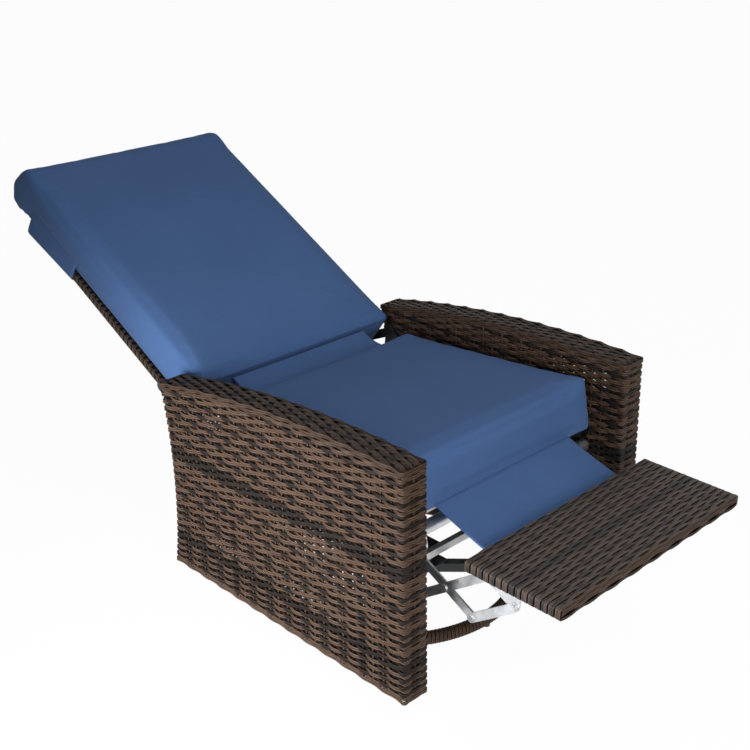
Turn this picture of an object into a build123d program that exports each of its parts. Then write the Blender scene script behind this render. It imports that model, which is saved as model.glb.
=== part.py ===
from build123d import *
import os
from math import cos, hypot, radians, sin

os.makedirs("parts", exist_ok=True)

# A push-back garden recliner on a swivel ring base, laid back with its footrest out.
# Millimetres. The origin is on the swivel axis at floor level, +Z is up, the chair
# faces -Y and X is its width. A side outline is drawn in (Y, Z).

# Sizes shared by the whole chair
chair_width = 660
arm_thickness = 60
arm_inner = chair_width / 2 - arm_thickness
tube_wall = 1.5
steel_plate = 4
fit_gap = 0.05
rest_gap = 0.3
overrun = 5
panel_corner = 12

# Ring base: a tube ring bound with wicker strand, on glides, braced by a cross of square tube
ring_radius = 253
ring_tube_radius = 10
binding_thickness = 3.6
glide_height = 2.5
glide_radius = 8
glide_stem_radius = 3
glide_count = 6
cross_bar_size = 20
cross_bar_drop = 5.1
cross_bar_bite = 6
cross_bar_angle = 45

# Swivel: two plates with a ball race between them, held together by a centre bolt
swivel_plate_side = 160
swivel_height = 27
race_radius = 47
race_width = 20
race_height = 11
ball_radius = 6
ball_gap = 0.3
ball_count = 12
spindle_radius = 8
spindle_nut_radius = 15
spindle_nut_height = 8
plate_bolt_spacing = 100
plate_bolt_radius = 4
plate_bolt_head_radius = 6.5
plate_bolt_head_height = 5
plate_bolt_length = 16

# Lower cross rails, welded to the upper swivel plate and to both arms
lower_rail_depth = 14
lower_rail_height = 16
lower_rail_lip = 4
upper_plate_depth = 118

# Arm, seen from the side: distances ahead of and behind the swivel axis, and heights
arm_foot_height = 48
arm_front_foot = 354
arm_front_head = 342
arm_front_height = 493
arm_back_head = 316
arm_back_height = 437
arm_crown_rise = 22
arm_back_waist = 290
arm_waist_height = 215
arm_back_foot = 301
arm_weave_wall = 4
arm_edge_radius = 7
arm_frame_gap = 0.2
arm_frame_tube = 25

# Seat: the plane under the cushion, which falls towards the back
seat_tilt = 5.17
seat_front = 268.8
seat_front_height = 351.4
seat_cushion_length = 488
seat_cushion_height = 95
seat_cushion_lean = 13
seat_cushion_crown = 6
seat_cushion_corner = 14
cushion_side_gap = 10
deck_thickness = 5
deck_side_gap = 2
seat_rail_width = 20
seat_rail_height = 25
seat_rail_setback = 5
seat_rail_length = 475
seat_bolt_radius = 4
seat_bolt_head_radius = 7
seat_bolt_head_height = 4
seat_bolt_length = 36
seat_bolt_place_shares = (0.12, 0.5, 0.92)
seat_cross_rail = 20
seat_cross_rail_setback = 15

# Backrest: the plane of the cushion's face at full recline, from its lower front edge
back_recline = 27.4
back_edge_behind = 269
back_edge_height = 428
back_cushion_length = 681
back_cushion_depth = 97
back_cushion_top_depth = 108
back_cushion_heel = 10
back_cushion_top_lean = 25
back_cushion_top_cut = 24
back_cushion_crown = 5
back_cushion_corner = 16
back_frame_start = 4
back_frame_short = 69
back_frame_depth = 20
back_frame_gap = 0.5
back_weave_wall = 2
back_weave_edge = 4
back_frame_tube = 15.6
back_frame_side_gap = 8.5
back_bar_place_shares = (0.33, 0.66)
hood_length = 170
hood_top_wall = 14
hood_side_wall = 4
hood_back_wall = 18
hood_edge = 3

# Recline pivots: a stud on a bracket at each arm, through a plate on the back frame
recline_pivot_below = 11.3
recline_pivot_depth = 41.2
recline_stud_radius = 6
recline_stud_head = 9
recline_stud_head_height = 1.5
recline_lobe = 14
hinge_plate_thickness = 3.5
hinge_plate_width = 20
hinge_plate_foot = 40
hinge_plate_reach = 100
hinge_plate_tail = 45
hinge_plate_tail_radius = 8
bracket_thickness = 3.5
bracket_lobe = 14
bracket_foot_behind = 6
bracket_foot_drop = 60
washer_radius = 11
washer_gap = 0.1
stop_pin_radius = 4
bracket_screw_radius = 2.5
bracket_screw_head = 5
bracket_screw_head_height = 2.5
bracket_screw_length = 12
bracket_screw_drop = 22
hinge_rivet_radius = 3
hinge_rivet_length = 7
hinge_swing = 50

# Cross tubes and the plates that carry the footrest linkage
front_tube_ahead = 261
front_tube_height = 300
cross_tube_radius = 12.5
rear_tube_ahead = 50
rear_tube_height = 270
mechanism_inset = 68.6
mechanism_lobe = 12
mechanism_tube_lobe = 16

# Footrest linkage pivots at full reach: ahead of the swivel axis, and height
main_pivot_ahead = 270
main_pivot_height = 278
rear_bar_pivot_ahead = 333
rear_bar_pivot_height = 222
front_bar_pivot_ahead = 395.5
front_bar_pivot_height = 190
main_arm_elbow_ahead = 272
main_arm_elbow_height = 253
lift_bar_reach = 89.5
lift_bar_rise = 64
lift_bar_tail = 85
link_half_width = 8.5
layer_gap = 0.3
pin_radius = 4
pin_head_radius = 6.5
pin_head_height = 1.5
open_pivot_gap = 0.2

# Footrest
footrest_rear_ahead = 412
footrest_depth = 199
footrest_thickness = 25
footrest_top = 333
footrest_side_gap = 13.5
footrest_weave_wall = 3
footrest_edge = 7
footrest_frame_gap = 0.2
footrest_frame_tube = 18
bracket_front_ahead = 500
bracket_flange = 20
footrest_screw_radius = 2.5
footrest_screw_head = 5
footrest_screw_head_height = 3
footrest_screw_length = 12
footrest_screw_inset = 18

# Loose cloth between the cushions and the footrest
cloth_thickness = 3
flap_width = 374
flap_top_ahead = 284
flap_top_height = 350
flap_fold_ahead = 384
flap_fold_height = 316
flap_end_height = 318.5
flap_sag = 2
strip_width = 360
strip_sag = 6
strip_seam_angle = 20

# Levels of the base, from the floor up
binding_radius = ring_tube_radius + binding_thickness
ring_height = glide_height + binding_radius
cross_bar_bottom = ring_height - cross_bar_drop
lower_plate_bottom = cross_bar_bottom + cross_bar_size
lower_plate_top = lower_plate_bottom + steel_plate
upper_plate_bottom = lower_plate_top + swivel_height
upper_plate_top = upper_plate_bottom + steel_plate

# Planes and points that several pieces share
seat_plane = Plane(
    origin=(0, -seat_front, seat_front_height),
    x_dir=(1, 0, 0),
    z_dir=(0, sin(radians(seat_tilt)), cos(radians(seat_tilt))),
)
back_plane = Plane(
    origin=(0, back_edge_behind, back_edge_height),
    x_dir=(1, 0, 0),
    z_dir=(0, -sin(radians(back_recline)), cos(radians(back_recline))),
)
back_frame_end = back_cushion_length - back_frame_short
hood_start = back_frame_end - hood_length
bar_length = hypot(lift_bar_reach, lift_bar_rise)
tail_back = lift_bar_tail * lift_bar_reach / bar_length
tail_down = lift_bar_tail * lift_bar_rise / bar_length
main_pivot = (-main_pivot_ahead, main_pivot_height)
rear_bar_pivot = (-rear_bar_pivot_ahead, rear_bar_pivot_height)
front_bar_pivot = (-front_bar_pivot_ahead, front_bar_pivot_height)
main_arm_elbow = (-main_arm_elbow_ahead, main_arm_elbow_height)
rear_rest_pivot = (rear_bar_pivot[0] - lift_bar_reach, rear_bar_pivot[1] + lift_bar_rise)
front_rest_pivot = (front_bar_pivot[0] - lift_bar_reach, front_bar_pivot[1] + lift_bar_rise)
tail_pivot = (rear_bar_pivot[0] + tail_back, rear_bar_pivot[1] - tail_down)
follower_pivot = (main_pivot[0] + tail_back, main_pivot[1] - tail_down)
front_tube = (-front_tube_ahead, front_tube_height)
rear_tube = (-rear_tube_ahead, rear_tube_height)


def write(piece, name):
    """Label a finished piece and write it to its own file."""
    piece.part.label = name
    export_step(piece.part, f"parts/{name}.step")


def write_pair(piece, name):
    """Write the sitter's left-hand piece and its mirror image on the right."""
    write(piece, f"{name}_left")
    with BuildPart() as twin:
        add(mirror(piece.part, about=Plane.YZ, mode=Mode.PRIVATE))
    write(twin, f"{name}_right")


def yz_of(plane, along, normal):
    """Side-view point that lies along and above a tilted plane."""
    spot = plane.from_local_coords((0, along, normal))
    return (spot.Y, spot.Z)


def link(points, radius, x_start, x_end):
    """Flat steel link with a round lobe at each point, between two planes of X."""
    with BuildPart() as piece:
        for start, end in zip(points, points[1:]):
            with BuildSketch(Plane.YZ.offset(x_start)):
                with Locations(start, end):
                    Circle(radius)
                make_hull()
            extrude(amount=x_end - x_start)
    return piece.part


def rods(points, radius, x_start, x_end):
    """Round rods along X at side-view points."""
    with BuildPart() as piece:
        with BuildSketch(Plane.YZ.offset(x_start)):
            with Locations(*points):
                Circle(radius)
        extrude(amount=x_end - x_start)
    return piece.part


def headed_pins(points, radius, head_radius, head_height, x_start, x_end):
    """Pins along X, each with a head that stands past x_end."""
    reach = head_height if x_end > x_start else -head_height
    with BuildPart() as piece:
        with BuildSketch(Plane.YZ.offset(x_start)):
            with Locations(*points):
                Circle(radius)
        extrude(amount=x_end - x_start)
        with BuildSketch(Plane.YZ.offset(x_end)):
            with Locations(*points):
                Circle(head_radius)
        extrude(amount=reach)
    return piece.part


def slab(plane, x_range, s_range, n_range):
    """Block between two values of X, of travel along a tilted plane and of height above it."""
    with BuildPart() as block:
        with BuildSketch(plane.offset(n_range[0])):
            with Locations(((x_range[0] + x_range[1]) / 2, (s_range[0] + s_range[1]) / 2)):
                Rectangle(x_range[1] - x_range[0], s_range[1] - s_range[0])
        extrude(amount=n_range[1] - n_range[0])
    return block.part


def open_tube(plane, x_range, s_range, n_range, along_x):
    """Square tube with open ends, that runs along X or along the plane."""
    x_trim = -overrun if along_x else tube_wall
    s_trim = tube_wall if along_x else -overrun
    bore = slab(
        plane,
        (x_range[0] + x_trim, x_range[1] - x_trim),
        (s_range[0] + s_trim, s_range[1] - s_trim),
        (n_range[0] + tube_wall, n_range[1] - tube_wall),
    )
    block = slab(plane, x_range, s_range, n_range)
    with BuildPart() as tube:
        add(block)
        add(bore, mode=Mode.SUBTRACT)
    return tube.part


def panel_plan(half_width, s_range, corner, tube, bars):
    """Plan of a tube frame: a rectangle of tube with bars, each (x_range, s_range), across it."""
    middle = (0, (s_range[0] + s_range[1]) / 2)
    length = s_range[1] - s_range[0]
    with BuildSketch() as plan:
        with Locations(middle):
            RectangleRounded(2 * half_width, length, corner)
            Rectangle(2 * (half_width - tube), length - 2 * tube, mode=Mode.SUBTRACT)
        for bar_x, bar_s in bars:
            with Locations(((bar_x[0] + bar_x[1]) / 2, (bar_s[0] + bar_s[1]) / 2)):
                Rectangle(bar_x[1] - bar_x[0], bar_s[1] - bar_s[0])
    return plan.sketch


def tube_frame(plane, plan, depth):
    """Welded frame of tube: a plan given depth, with one closed bore all through it."""
    with BuildPart() as frame:
        with BuildSketch(plane):
            add(plan)
        extrude(amount=depth)
        with BuildSketch(plane.offset(tube_wall)):
            add(plan)
            offset(amount=-tube_wall, kind=Kind.INTERSECTION)
        extrude(amount=depth - 2 * tube_wall, mode=Mode.SUBTRACT)
    return frame.part


def woven_panel(plane, half_width, s_range, depth, wall, edge):
    """Woven cover round a panel's frame: a rounded slab with a closed hollow."""
    width = 2 * half_width
    length = s_range[1] - s_range[0]
    middle = (0, (s_range[0] + s_range[1]) / 2)
    with BuildPart() as panel:
        with BuildSketch(plane):
            with Locations(middle):
                RectangleRounded(width, length, panel_corner)
        extrude(amount=depth)
        top_and_bottom = panel.faces().filter_by(plane).edges()
        fillet(top_and_bottom, radius=edge)
        with BuildSketch(plane.offset(wall)):
            with Locations(middle):
                RectangleRounded(width - 2 * wall, length - 2 * wall, panel_corner - wall)
        extrude(amount=depth - 2 * wall, mode=Mode.SUBTRACT)
    return panel.part


# Base ring: bent steel tube, with a hole for the stem of each glide
glide_places = PolarLocations(ring_radius, glide_count, start_angle=-90)
with BuildPart() as base_ring:
    with BuildSketch(Plane.XZ):
        with Locations((ring_radius, ring_height)):
            Circle(ring_tube_radius)
            Circle(ring_tube_radius - tube_wall, mode=Mode.SUBTRACT)
    revolve(axis=Axis.Z)
    with BuildSketch():
        with glide_places:
            Circle(glide_stem_radius + fit_gap)
    extrude(amount=ring_height, mode=Mode.SUBTRACT)
write(base_ring, "base_ring")
with BuildPart() as ring_core:
    with BuildSketch(Plane.XZ):
        with Locations((ring_radius, ring_height)):
            Circle(ring_tube_radius)
    revolve(axis=Axis.Z)

# Glides: moulded feet with a stem up into the ring
glide_pad = ring_height - ring_tube_radius - rest_gap
with BuildPart() as ring_glides:
    with BuildSketch():
        with glide_places:
            Circle(glide_radius)
    extrude(amount=glide_pad)
    with BuildSketch():
        with glide_places:
            Circle(glide_stem_radius)
    extrude(amount=ring_height - ring_tube_radius + tube_wall)
write(ring_glides, "ring_glides")

# Binding: flat strand wound round the ring, open where the cross bars meet it
bar_half = cross_bar_size / 2
bar_end = ring_radius - cross_bar_bite
bar_notches = [
    slab(
        Plane.XY.rotated((0, 0, turn)),
        (-bar_half - rest_gap, bar_half + rest_gap),
        (-bar_end - rest_gap, bar_end + rest_gap),
        (cross_bar_bottom - rest_gap, lower_plate_bottom + overrun),
    )
    for turn in (cross_bar_angle, -cross_bar_angle)
]
with BuildPart() as ring_binding:
    with BuildSketch(Plane.XZ):
        with Locations((ring_radius, ring_height)):
            Circle(binding_radius)
            Circle(ring_tube_radius + fit_gap, mode=Mode.SUBTRACT)
    revolve(axis=Axis.Z)
    add(bar_notches, mode=Mode.SUBTRACT)
    with BuildSketch():
        with glide_places:
            Circle(glide_radius + rest_gap)
    extrude(amount=glide_pad, mode=Mode.SUBTRACT)
    with BuildSketch():
        with glide_places:
            Circle(glide_stem_radius + rest_gap)
    extrude(amount=ring_height, mode=Mode.SUBTRACT)
write(ring_binding, "ring_binding")

# Cross bars: one whole bar and two half bars across it, coped and welded to the ring
base_plane = Plane.XY.rotated((0, 0, cross_bar_angle))
bar_levels = (cross_bar_bottom, lower_plate_bottom)
bolt_places = GridLocations(plate_bolt_spacing, plate_bolt_spacing, 2, 2)
with BuildPart() as bolt_holes:
    with BuildSketch(Plane.XY.offset(cross_bar_bottom + tube_wall)):
        with bolt_places:
            Circle(plate_bolt_radius + fit_gap)
    extrude(amount=cross_bar_size)
whole_bar = open_tube(
    base_plane, (-bar_half, bar_half), (-bar_end, bar_end), bar_levels, False
)
half_bar_ends = [
    open_tube(base_plane, x_range, (-bar_half, bar_half), bar_levels, True)
    for x_range in ((-bar_end, -bar_half), (bar_half, bar_end))
]
for name, bar in {"cross_bar_long": whole_bar, "cross_bar_halves": half_bar_ends}.items():
    with BuildPart() as cross_bar:
        add(bar)
        add(ring_core.part, mode=Mode.SUBTRACT)
        add(bolt_holes.part, mode=Mode.SUBTRACT)
    write(cross_bar, name)

# Swivel: lower plate, upper plate, races, balls, spindle and bolts
rail_inner = upper_plate_depth / 2
with BuildPart() as swivel_lower_plate:
    with BuildSketch(Plane.XY.offset(lower_plate_bottom)):
        Rectangle(swivel_plate_side, swivel_plate_side)
        with bolt_places:
            Circle(plate_bolt_radius + fit_gap, mode=Mode.SUBTRACT)
    extrude(amount=steel_plate)
write(swivel_lower_plate, "swivel_lower_plate")
with BuildPart() as swivel_upper_plate:
    with BuildSketch(Plane.XY.offset(upper_plate_bottom)):
        Rectangle(swivel_plate_side, upper_plate_depth)
        Circle(spindle_radius + fit_gap, mode=Mode.SUBTRACT)
    extrude(amount=steel_plate)
write(swivel_upper_plate, "swivel_upper_plate")
ball_level = lower_plate_top + swivel_height / 2
race_middles = {
    "lower": lower_plate_top + race_height / 2,
    "upper": upper_plate_bottom - race_height / 2,
}
for name, race_middle in race_middles.items():
    with BuildPart() as race:
        with BuildSketch(Plane.XZ):
            with Locations((race_radius, race_middle)):
                Rectangle(race_width, race_height)
            with Locations((race_radius, ball_level)):
                Circle(ball_radius + ball_gap, mode=Mode.SUBTRACT)
        revolve(axis=Axis.Z)
    write(race, f"bearing_{name}_race")
with BuildPart(Plane.XY.offset(ball_level)) as bearing_balls:
    with PolarLocations(race_radius, ball_count):
        Sphere(ball_radius)
write(bearing_balls, "bearing_balls")
with BuildPart() as swivel_spindle:
    with BuildSketch(Plane.XY.offset(lower_plate_top)):
        Circle(spindle_radius)
    extrude(amount=swivel_height + steel_plate + rest_gap + spindle_nut_height)
write(swivel_spindle, "swivel_spindle")
with BuildPart() as spindle_nut:
    with BuildSketch(Plane.XY.offset(upper_plate_top + rest_gap)):
        RegularPolygon(spindle_nut_radius, 6)
        Circle(spindle_radius + fit_gap, mode=Mode.SUBTRACT)
    extrude(amount=spindle_nut_height)
write(spindle_nut, "spindle_nut")
with BuildPart() as swivel_bolts:
    with BuildSketch(Plane.XY.offset(lower_plate_top)):
        with bolt_places:
            RegularPolygon(plate_bolt_head_radius, 6)
    extrude(amount=plate_bolt_head_height)
    with BuildSketch(Plane.XY.offset(lower_plate_top)):
        with bolt_places:
            Circle(plate_bolt_radius)
    extrude(amount=-plate_bolt_length)
write(swivel_bolts, "swivel_bolts")

# Lower cross rails: from arm to arm, in front of and behind the upper swivel plate
rail_top = upper_plate_top + lower_rail_lip
rail_levels = (rail_top - lower_rail_height, rail_top)
front_rail = open_tube(
    Plane.XY,
    (-arm_inner, arm_inner),
    (-rail_inner - lower_rail_depth, -rail_inner),
    rail_levels,
    True,
)
with BuildPart() as lower_cross_rails:
    add(front_rail)
    mirror(about=Plane.XZ)
write(lower_cross_rails, "lower_cross_rails")

# Places of the seat rail bolts, which pass the rails and the arms' inner faces
seat_rail_top = -deck_thickness - rest_gap
seat_rail_n = (seat_rail_top - seat_rail_height, seat_rail_top)
seat_rail_s = (seat_rail_setback, seat_rail_setback + seat_rail_length)
seat_bolt_points = [
    yz_of(seat_plane, seat_rail_setback + share * seat_rail_length, sum(seat_rail_n) / 2)
    for share in seat_bolt_place_shares
]

# Recline pivot, the tail of the hinge plate and the two stops that it meets
tail_along = -recline_pivot_below - hinge_plate_tail
stop_rise = hinge_plate_tail_radius + rest_gap + stop_pin_radius
recline_pivot = yz_of(back_plane, -recline_pivot_below, -recline_pivot_depth)
recline_tail = yz_of(back_plane, tail_along, -recline_pivot_depth)
laid_back_stop = yz_of(back_plane, tail_along, stop_rise - recline_pivot_depth)
swing_plane = Plane(origin=(0, *recline_pivot), x_dir=(1, 0, 0), z_dir=back_plane.z_dir)
upright_plane = swing_plane.rotated((hinge_swing, 0, 0))
upright_stop = yz_of(upright_plane, -hinge_plate_tail, -stop_rise)
bracket_foot = (recline_pivot[0] + bracket_foot_behind, recline_pivot[1] - bracket_foot_drop)
bracket_screw_points = [
    (bracket_foot[0], recline_pivot[1] - bracket_screw_drop),
    bracket_foot,
]
bracket_inner = arm_inner - bracket_thickness


def countersunk_screw(point, gap):
    """Screw along X with a countersunk head flush in the recline bracket, grown by a gap."""
    head = bracket_screw_head + gap
    shank = bracket_screw_radius + gap
    screw_axis = Axis((bracket_inner, *point), (1, 0, 0))
    with BuildPart() as screw:
        with BuildSketch(Plane(origin=(bracket_inner, *point), x_dir=(1, 0, 0), z_dir=(0, -1, 0))):
            with BuildLine():
                Polyline(
                    (0, 0),
                    (0, head),
                    (bracket_screw_head_height, shank),
                    (bracket_screw_length, shank),
                    (bracket_screw_length, 0),
                    close=True,
                )
            make_face()
        revolve(axis=screw_axis)
    return screw.part


bracket_screw_holes = [countersunk_screw(point, fit_gap) for point in bracket_screw_points]
bracket_screw_shapes = [countersunk_screw(point, 0) for point in bracket_screw_points]
seat_bolt_holes = rods(
    seat_bolt_points,
    seat_bolt_radius + fit_gap,
    arm_inner - seat_rail_width,
    arm_inner + seat_bolt_length - seat_rail_width,
)


def arm_outline(inset):
    """Side outline of the arm, drawn in all round by the inset."""
    front_foot = (-arm_front_foot, arm_foot_height)
    front_head = (-arm_front_head, arm_front_height)
    back_head = (arm_back_head, arm_back_height)
    back_foot = (arm_back_foot, arm_foot_height)
    crown_ahead = (arm_back_head - arm_front_head) / 2
    crown_height = (arm_front_height + arm_back_height) / 2 + arm_crown_rise
    with BuildSketch() as outline:
        with BuildLine():
            Line(front_foot, front_head)
            ThreePointArc(front_head, (crown_ahead, crown_height), back_head)
            ThreePointArc(back_head, (arm_back_waist, arm_waist_height), back_foot)
            Line(back_foot, front_foot)
        make_face()
        if inset:
            offset(amount=-inset, kind=Kind.INTERSECTION)
    return outline.sketch


# Arm frames: a hoop of tube inside each arm, with a bar along the seat for the rail bolts
frame_inset = arm_weave_wall + arm_frame_gap
hoop_outline = arm_outline(frame_inset)
window_outline = arm_outline(frame_inset + arm_frame_tube)
bar_corners = [
    yz_of(seat_plane, along, level)
    for along, level in (
        (-seat_front, seat_rail_n[0]),
        (-seat_front, seat_rail_n[1]),
        (chair_width, seat_rail_n[1]),
        (chair_width, seat_rail_n[0]),
    )
]
with BuildSketch() as arm_bar:
    Polygon(*bar_corners, align=None)
    add(hoop_outline, mode=Mode.INTERSECT)
with BuildSketch() as arm_frame_plan:
    add(hoop_outline)
    add(window_outline, mode=Mode.SUBTRACT)
    add(arm_bar.sketch)
arm_frame_tubes = tube_frame(
    Plane.YZ.offset(arm_inner + frame_inset),
    arm_frame_plan.sketch,
    arm_thickness - 2 * frame_inset,
)
with BuildPart() as arm_frame:
    add(arm_frame_tubes)
    add(seat_bolt_holes, mode=Mode.SUBTRACT)
    add(bracket_screw_holes, mode=Mode.SUBTRACT)
write_pair(arm_frame, "arm_frame")

# Arm weave: the wicker skin all round each arm frame
full_outline = arm_outline(0)
inner_outline = arm_outline(arm_weave_wall)
with BuildPart() as arm_weave:
    with BuildSketch(Plane.YZ.offset(arm_inner)):
        add(full_outline)
    extrude(amount=arm_thickness)
    fillet(arm_weave.edges(), radius=arm_edge_radius)
    with BuildSketch(Plane.YZ.offset(arm_inner + arm_weave_wall)):
        add(inner_outline)
    extrude(amount=arm_thickness - 2 * arm_weave_wall, mode=Mode.SUBTRACT)
    add(seat_bolt_holes, mode=Mode.SUBTRACT)
    add(bracket_screw_holes, mode=Mode.SUBTRACT)
write_pair(arm_weave, "arm_weave")

# Seat frame: side rails bolted to the arms, cross rails between them and a deck on top
rail_inside = arm_inner - seat_rail_width
side_rail = open_tube(seat_plane, (rail_inside, arm_inner), seat_rail_s, seat_rail_n, False)
with BuildPart() as seat_rail:
    add(side_rail)
    add(seat_bolt_holes, mode=Mode.SUBTRACT)
write_pair(seat_rail, "seat_rail")
cross_rail_n = (seat_rail_top - seat_cross_rail, seat_rail_top)
front_rail_start = seat_rail_setback + seat_cross_rail_setback
rear_rail_end = seat_rail_s[1]
cross_rails = [
    open_tube(seat_plane, (-rail_inside, rail_inside), span, cross_rail_n, True)
    for span in (
        (front_rail_start, front_rail_start + seat_cross_rail),
        (rear_rail_end - seat_cross_rail, rear_rail_end),
    )
]
with BuildPart() as seat_cross_rails:
    add(cross_rails)
write(seat_cross_rails, "seat_cross_rails")
bolt_shapes = headed_pins(
    seat_bolt_points,
    seat_bolt_radius,
    seat_bolt_head_radius,
    seat_bolt_head_height,
    rail_inside + seat_bolt_length,
    rail_inside,
)
with BuildPart() as seat_rail_bolts:
    add(bolt_shapes)
    mirror(about=Plane.YZ)
write(seat_rail_bolts, "seat_rail_bolts")
with BuildPart() as seat_deck:
    with BuildSketch(seat_plane.offset(seat_rail_top)):
        with Locations((0, sum(seat_rail_s) / 2)):
            Rectangle(2 * (arm_inner - deck_side_gap), seat_rail_length)
    extrude(amount=deck_thickness)
write(seat_deck, "seat_deck")

# Cross tubes: from arm to arm, through the plates that carry the footrest linkage
with BuildPart() as cross_tubes:
    with BuildSketch(Plane.YZ.offset(-arm_inner)):
        with Locations(front_tube, rear_tube):
            Circle(cross_tube_radius)
            Circle(cross_tube_radius - tube_wall, mode=Mode.SUBTRACT)
    extrude(amount=2 * arm_inner)
write(cross_tubes, "cross_tubes")

# Linkage layers, from the chair's middle outwards: plate, arm, lift bars, follower
layer_pitch = steel_plate + layer_gap
layer_starts = [arm_inner - mechanism_inset + turn * layer_pitch for turn in range(4)]
plate_layer, arm_layer, bar_layer, follower_layer = [
    (start, start + steel_plate) for start in layer_starts
]
fit_radius = pin_radius + fit_gap
with BuildPart() as mechanism_plate:
    with BuildSketch(Plane.YZ.offset(plate_layer[0])) as plate_shape:
        with Locations(front_tube, rear_tube):
            Circle(mechanism_tube_lobe)
        with Locations(main_pivot, follower_pivot):
            Circle(mechanism_lobe)
        make_hull()
        with Locations(front_tube, rear_tube):
            Circle(cross_tube_radius + fit_gap, mode=Mode.SUBTRACT)
        with Locations(main_pivot, follower_pivot):
            Circle(fit_radius, mode=Mode.SUBTRACT)
    extrude(amount=steel_plate)
write_pair(mechanism_plate, "mechanism_plate")

# Linkage members: each (points, layer, holes), where a hole is (point, radius)
open_radius = pin_radius + open_pivot_gap
members = {
    "main_arm": (
        (main_pivot, main_arm_elbow, rear_bar_pivot, front_bar_pivot),
        arm_layer,
        ((main_pivot, fit_radius), (rear_bar_pivot, fit_radius), (front_bar_pivot, fit_radius)),
    ),
    "rear_lift_bar": (
        (rear_rest_pivot, rear_bar_pivot, tail_pivot),
        bar_layer,
        ((rear_rest_pivot, fit_radius), (rear_bar_pivot, fit_radius), (tail_pivot, open_radius)),
    ),
    "front_lift_bar": (
        (front_rest_pivot, front_bar_pivot),
        bar_layer,
        ((front_rest_pivot, open_radius), (front_bar_pivot, fit_radius)),
    ),
    "follower_link": (
        (tail_pivot, follower_pivot),
        follower_layer,
        ((tail_pivot, fit_radius), (follower_pivot, fit_radius)),
    ),
}
for name, (points, layer, holes) in members.items():
    strap = link(points, link_half_width, *layer)
    with BuildPart() as member:
        add(strap)
        for place, radius in holes:
            with BuildSketch(Plane.YZ.offset(layer[0])):
                with Locations(place):
                    Circle(radius)
            extrude(amount=steel_plate, mode=Mode.SUBTRACT)
    write_pair(member, name)

# Linkage pins: each (points, start, end), where the head stands past the end
bar_head_start = bar_layer[1] + layer_gap
pin_sets = {
    "main_pivot_pins": ((main_pivot,), plate_layer[0], arm_layer[1] + layer_gap),
    "main_arm_pins": ((rear_bar_pivot, front_bar_pivot), arm_layer[0], bar_head_start),
    "footrest_pins": ((rear_rest_pivot, front_rest_pivot), arm_layer[0], bar_head_start),
    "follower_pivot_pins": (
        (follower_pivot,),
        plate_layer[0],
        follower_layer[1] + layer_gap,
    ),
    "follower_tail_pins": ((tail_pivot,), bar_layer[0], follower_layer[1]),
}
for name, (points, start, end) in pin_sets.items():
    pins = headed_pins(points, pin_radius, pin_head_radius, pin_head_height, start, end)
    with BuildPart() as pin_set:
        add(pins)
        mirror(about=Plane.YZ)
    write(pin_set, name)

# Footrest brackets: a web that hangs from a flange under the footrest
footrest_bottom = footrest_top - footrest_thickness
footrest_s = (-footrest_rear_ahead - footrest_depth, -footrest_rear_ahead)
bracket_y = (-bracket_front_ahead, rear_rest_pivot[0] + link_half_width)
bracket_length = bracket_y[1] - bracket_y[0]
bracket_middle = sum(bracket_y) / 2
flange_bottom = footrest_bottom - steel_plate
flange_middle = arm_layer[0] - bracket_flange / 2
screw_rows = [bracket_y[0] + footrest_screw_inset, bracket_y[1] - footrest_screw_inset]
screw_places = [(flange_middle, row) for row in screw_rows]
with BuildPart() as footrest_bracket:
    with BuildSketch(Plane.YZ.offset(arm_layer[0])):
        with Locations((bracket_middle, (flange_bottom + footrest_bottom) / 2)):
            Rectangle(bracket_length, steel_plate)
        with Locations(rear_rest_pivot, front_rest_pivot):
            Circle(link_half_width)
        make_hull()
        with Locations(rear_rest_pivot, front_rest_pivot):
            Circle(fit_radius, mode=Mode.SUBTRACT)
    extrude(amount=steel_plate)
    with BuildSketch(Plane.XY.offset(flange_bottom)):
        with Locations((flange_middle, bracket_middle)):
            Rectangle(bracket_flange, bracket_length)
        with Locations(*screw_places):
            Circle(footrest_screw_radius + fit_gap, mode=Mode.SUBTRACT)
    extrude(amount=steel_plate)
write_pair(footrest_bracket, "footrest_bracket")

# Footrest screws, up through the flanges into two ribs of the footrest's frame
with BuildPart() as footrest_screws:
    with BuildSketch(Plane.XY.offset(flange_bottom)):
        with Locations(*screw_places):
            Circle(footrest_screw_head)
    extrude(amount=-footrest_screw_head_height)
    with BuildSketch(Plane.XY.offset(flange_bottom)):
        with Locations(*screw_places):
            Circle(footrest_screw_radius)
    extrude(amount=footrest_screw_length)
    mirror(about=Plane.YZ)
write(footrest_screws, "footrest_screws")
with BuildPart() as footrest_screw_holes:
    with BuildSketch(Plane.XY.offset(flange_bottom)):
        with Locations(*screw_places):
            Circle(footrest_screw_radius + fit_gap)
    extrude(amount=footrest_screw_length)
    mirror(about=Plane.YZ)

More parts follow.
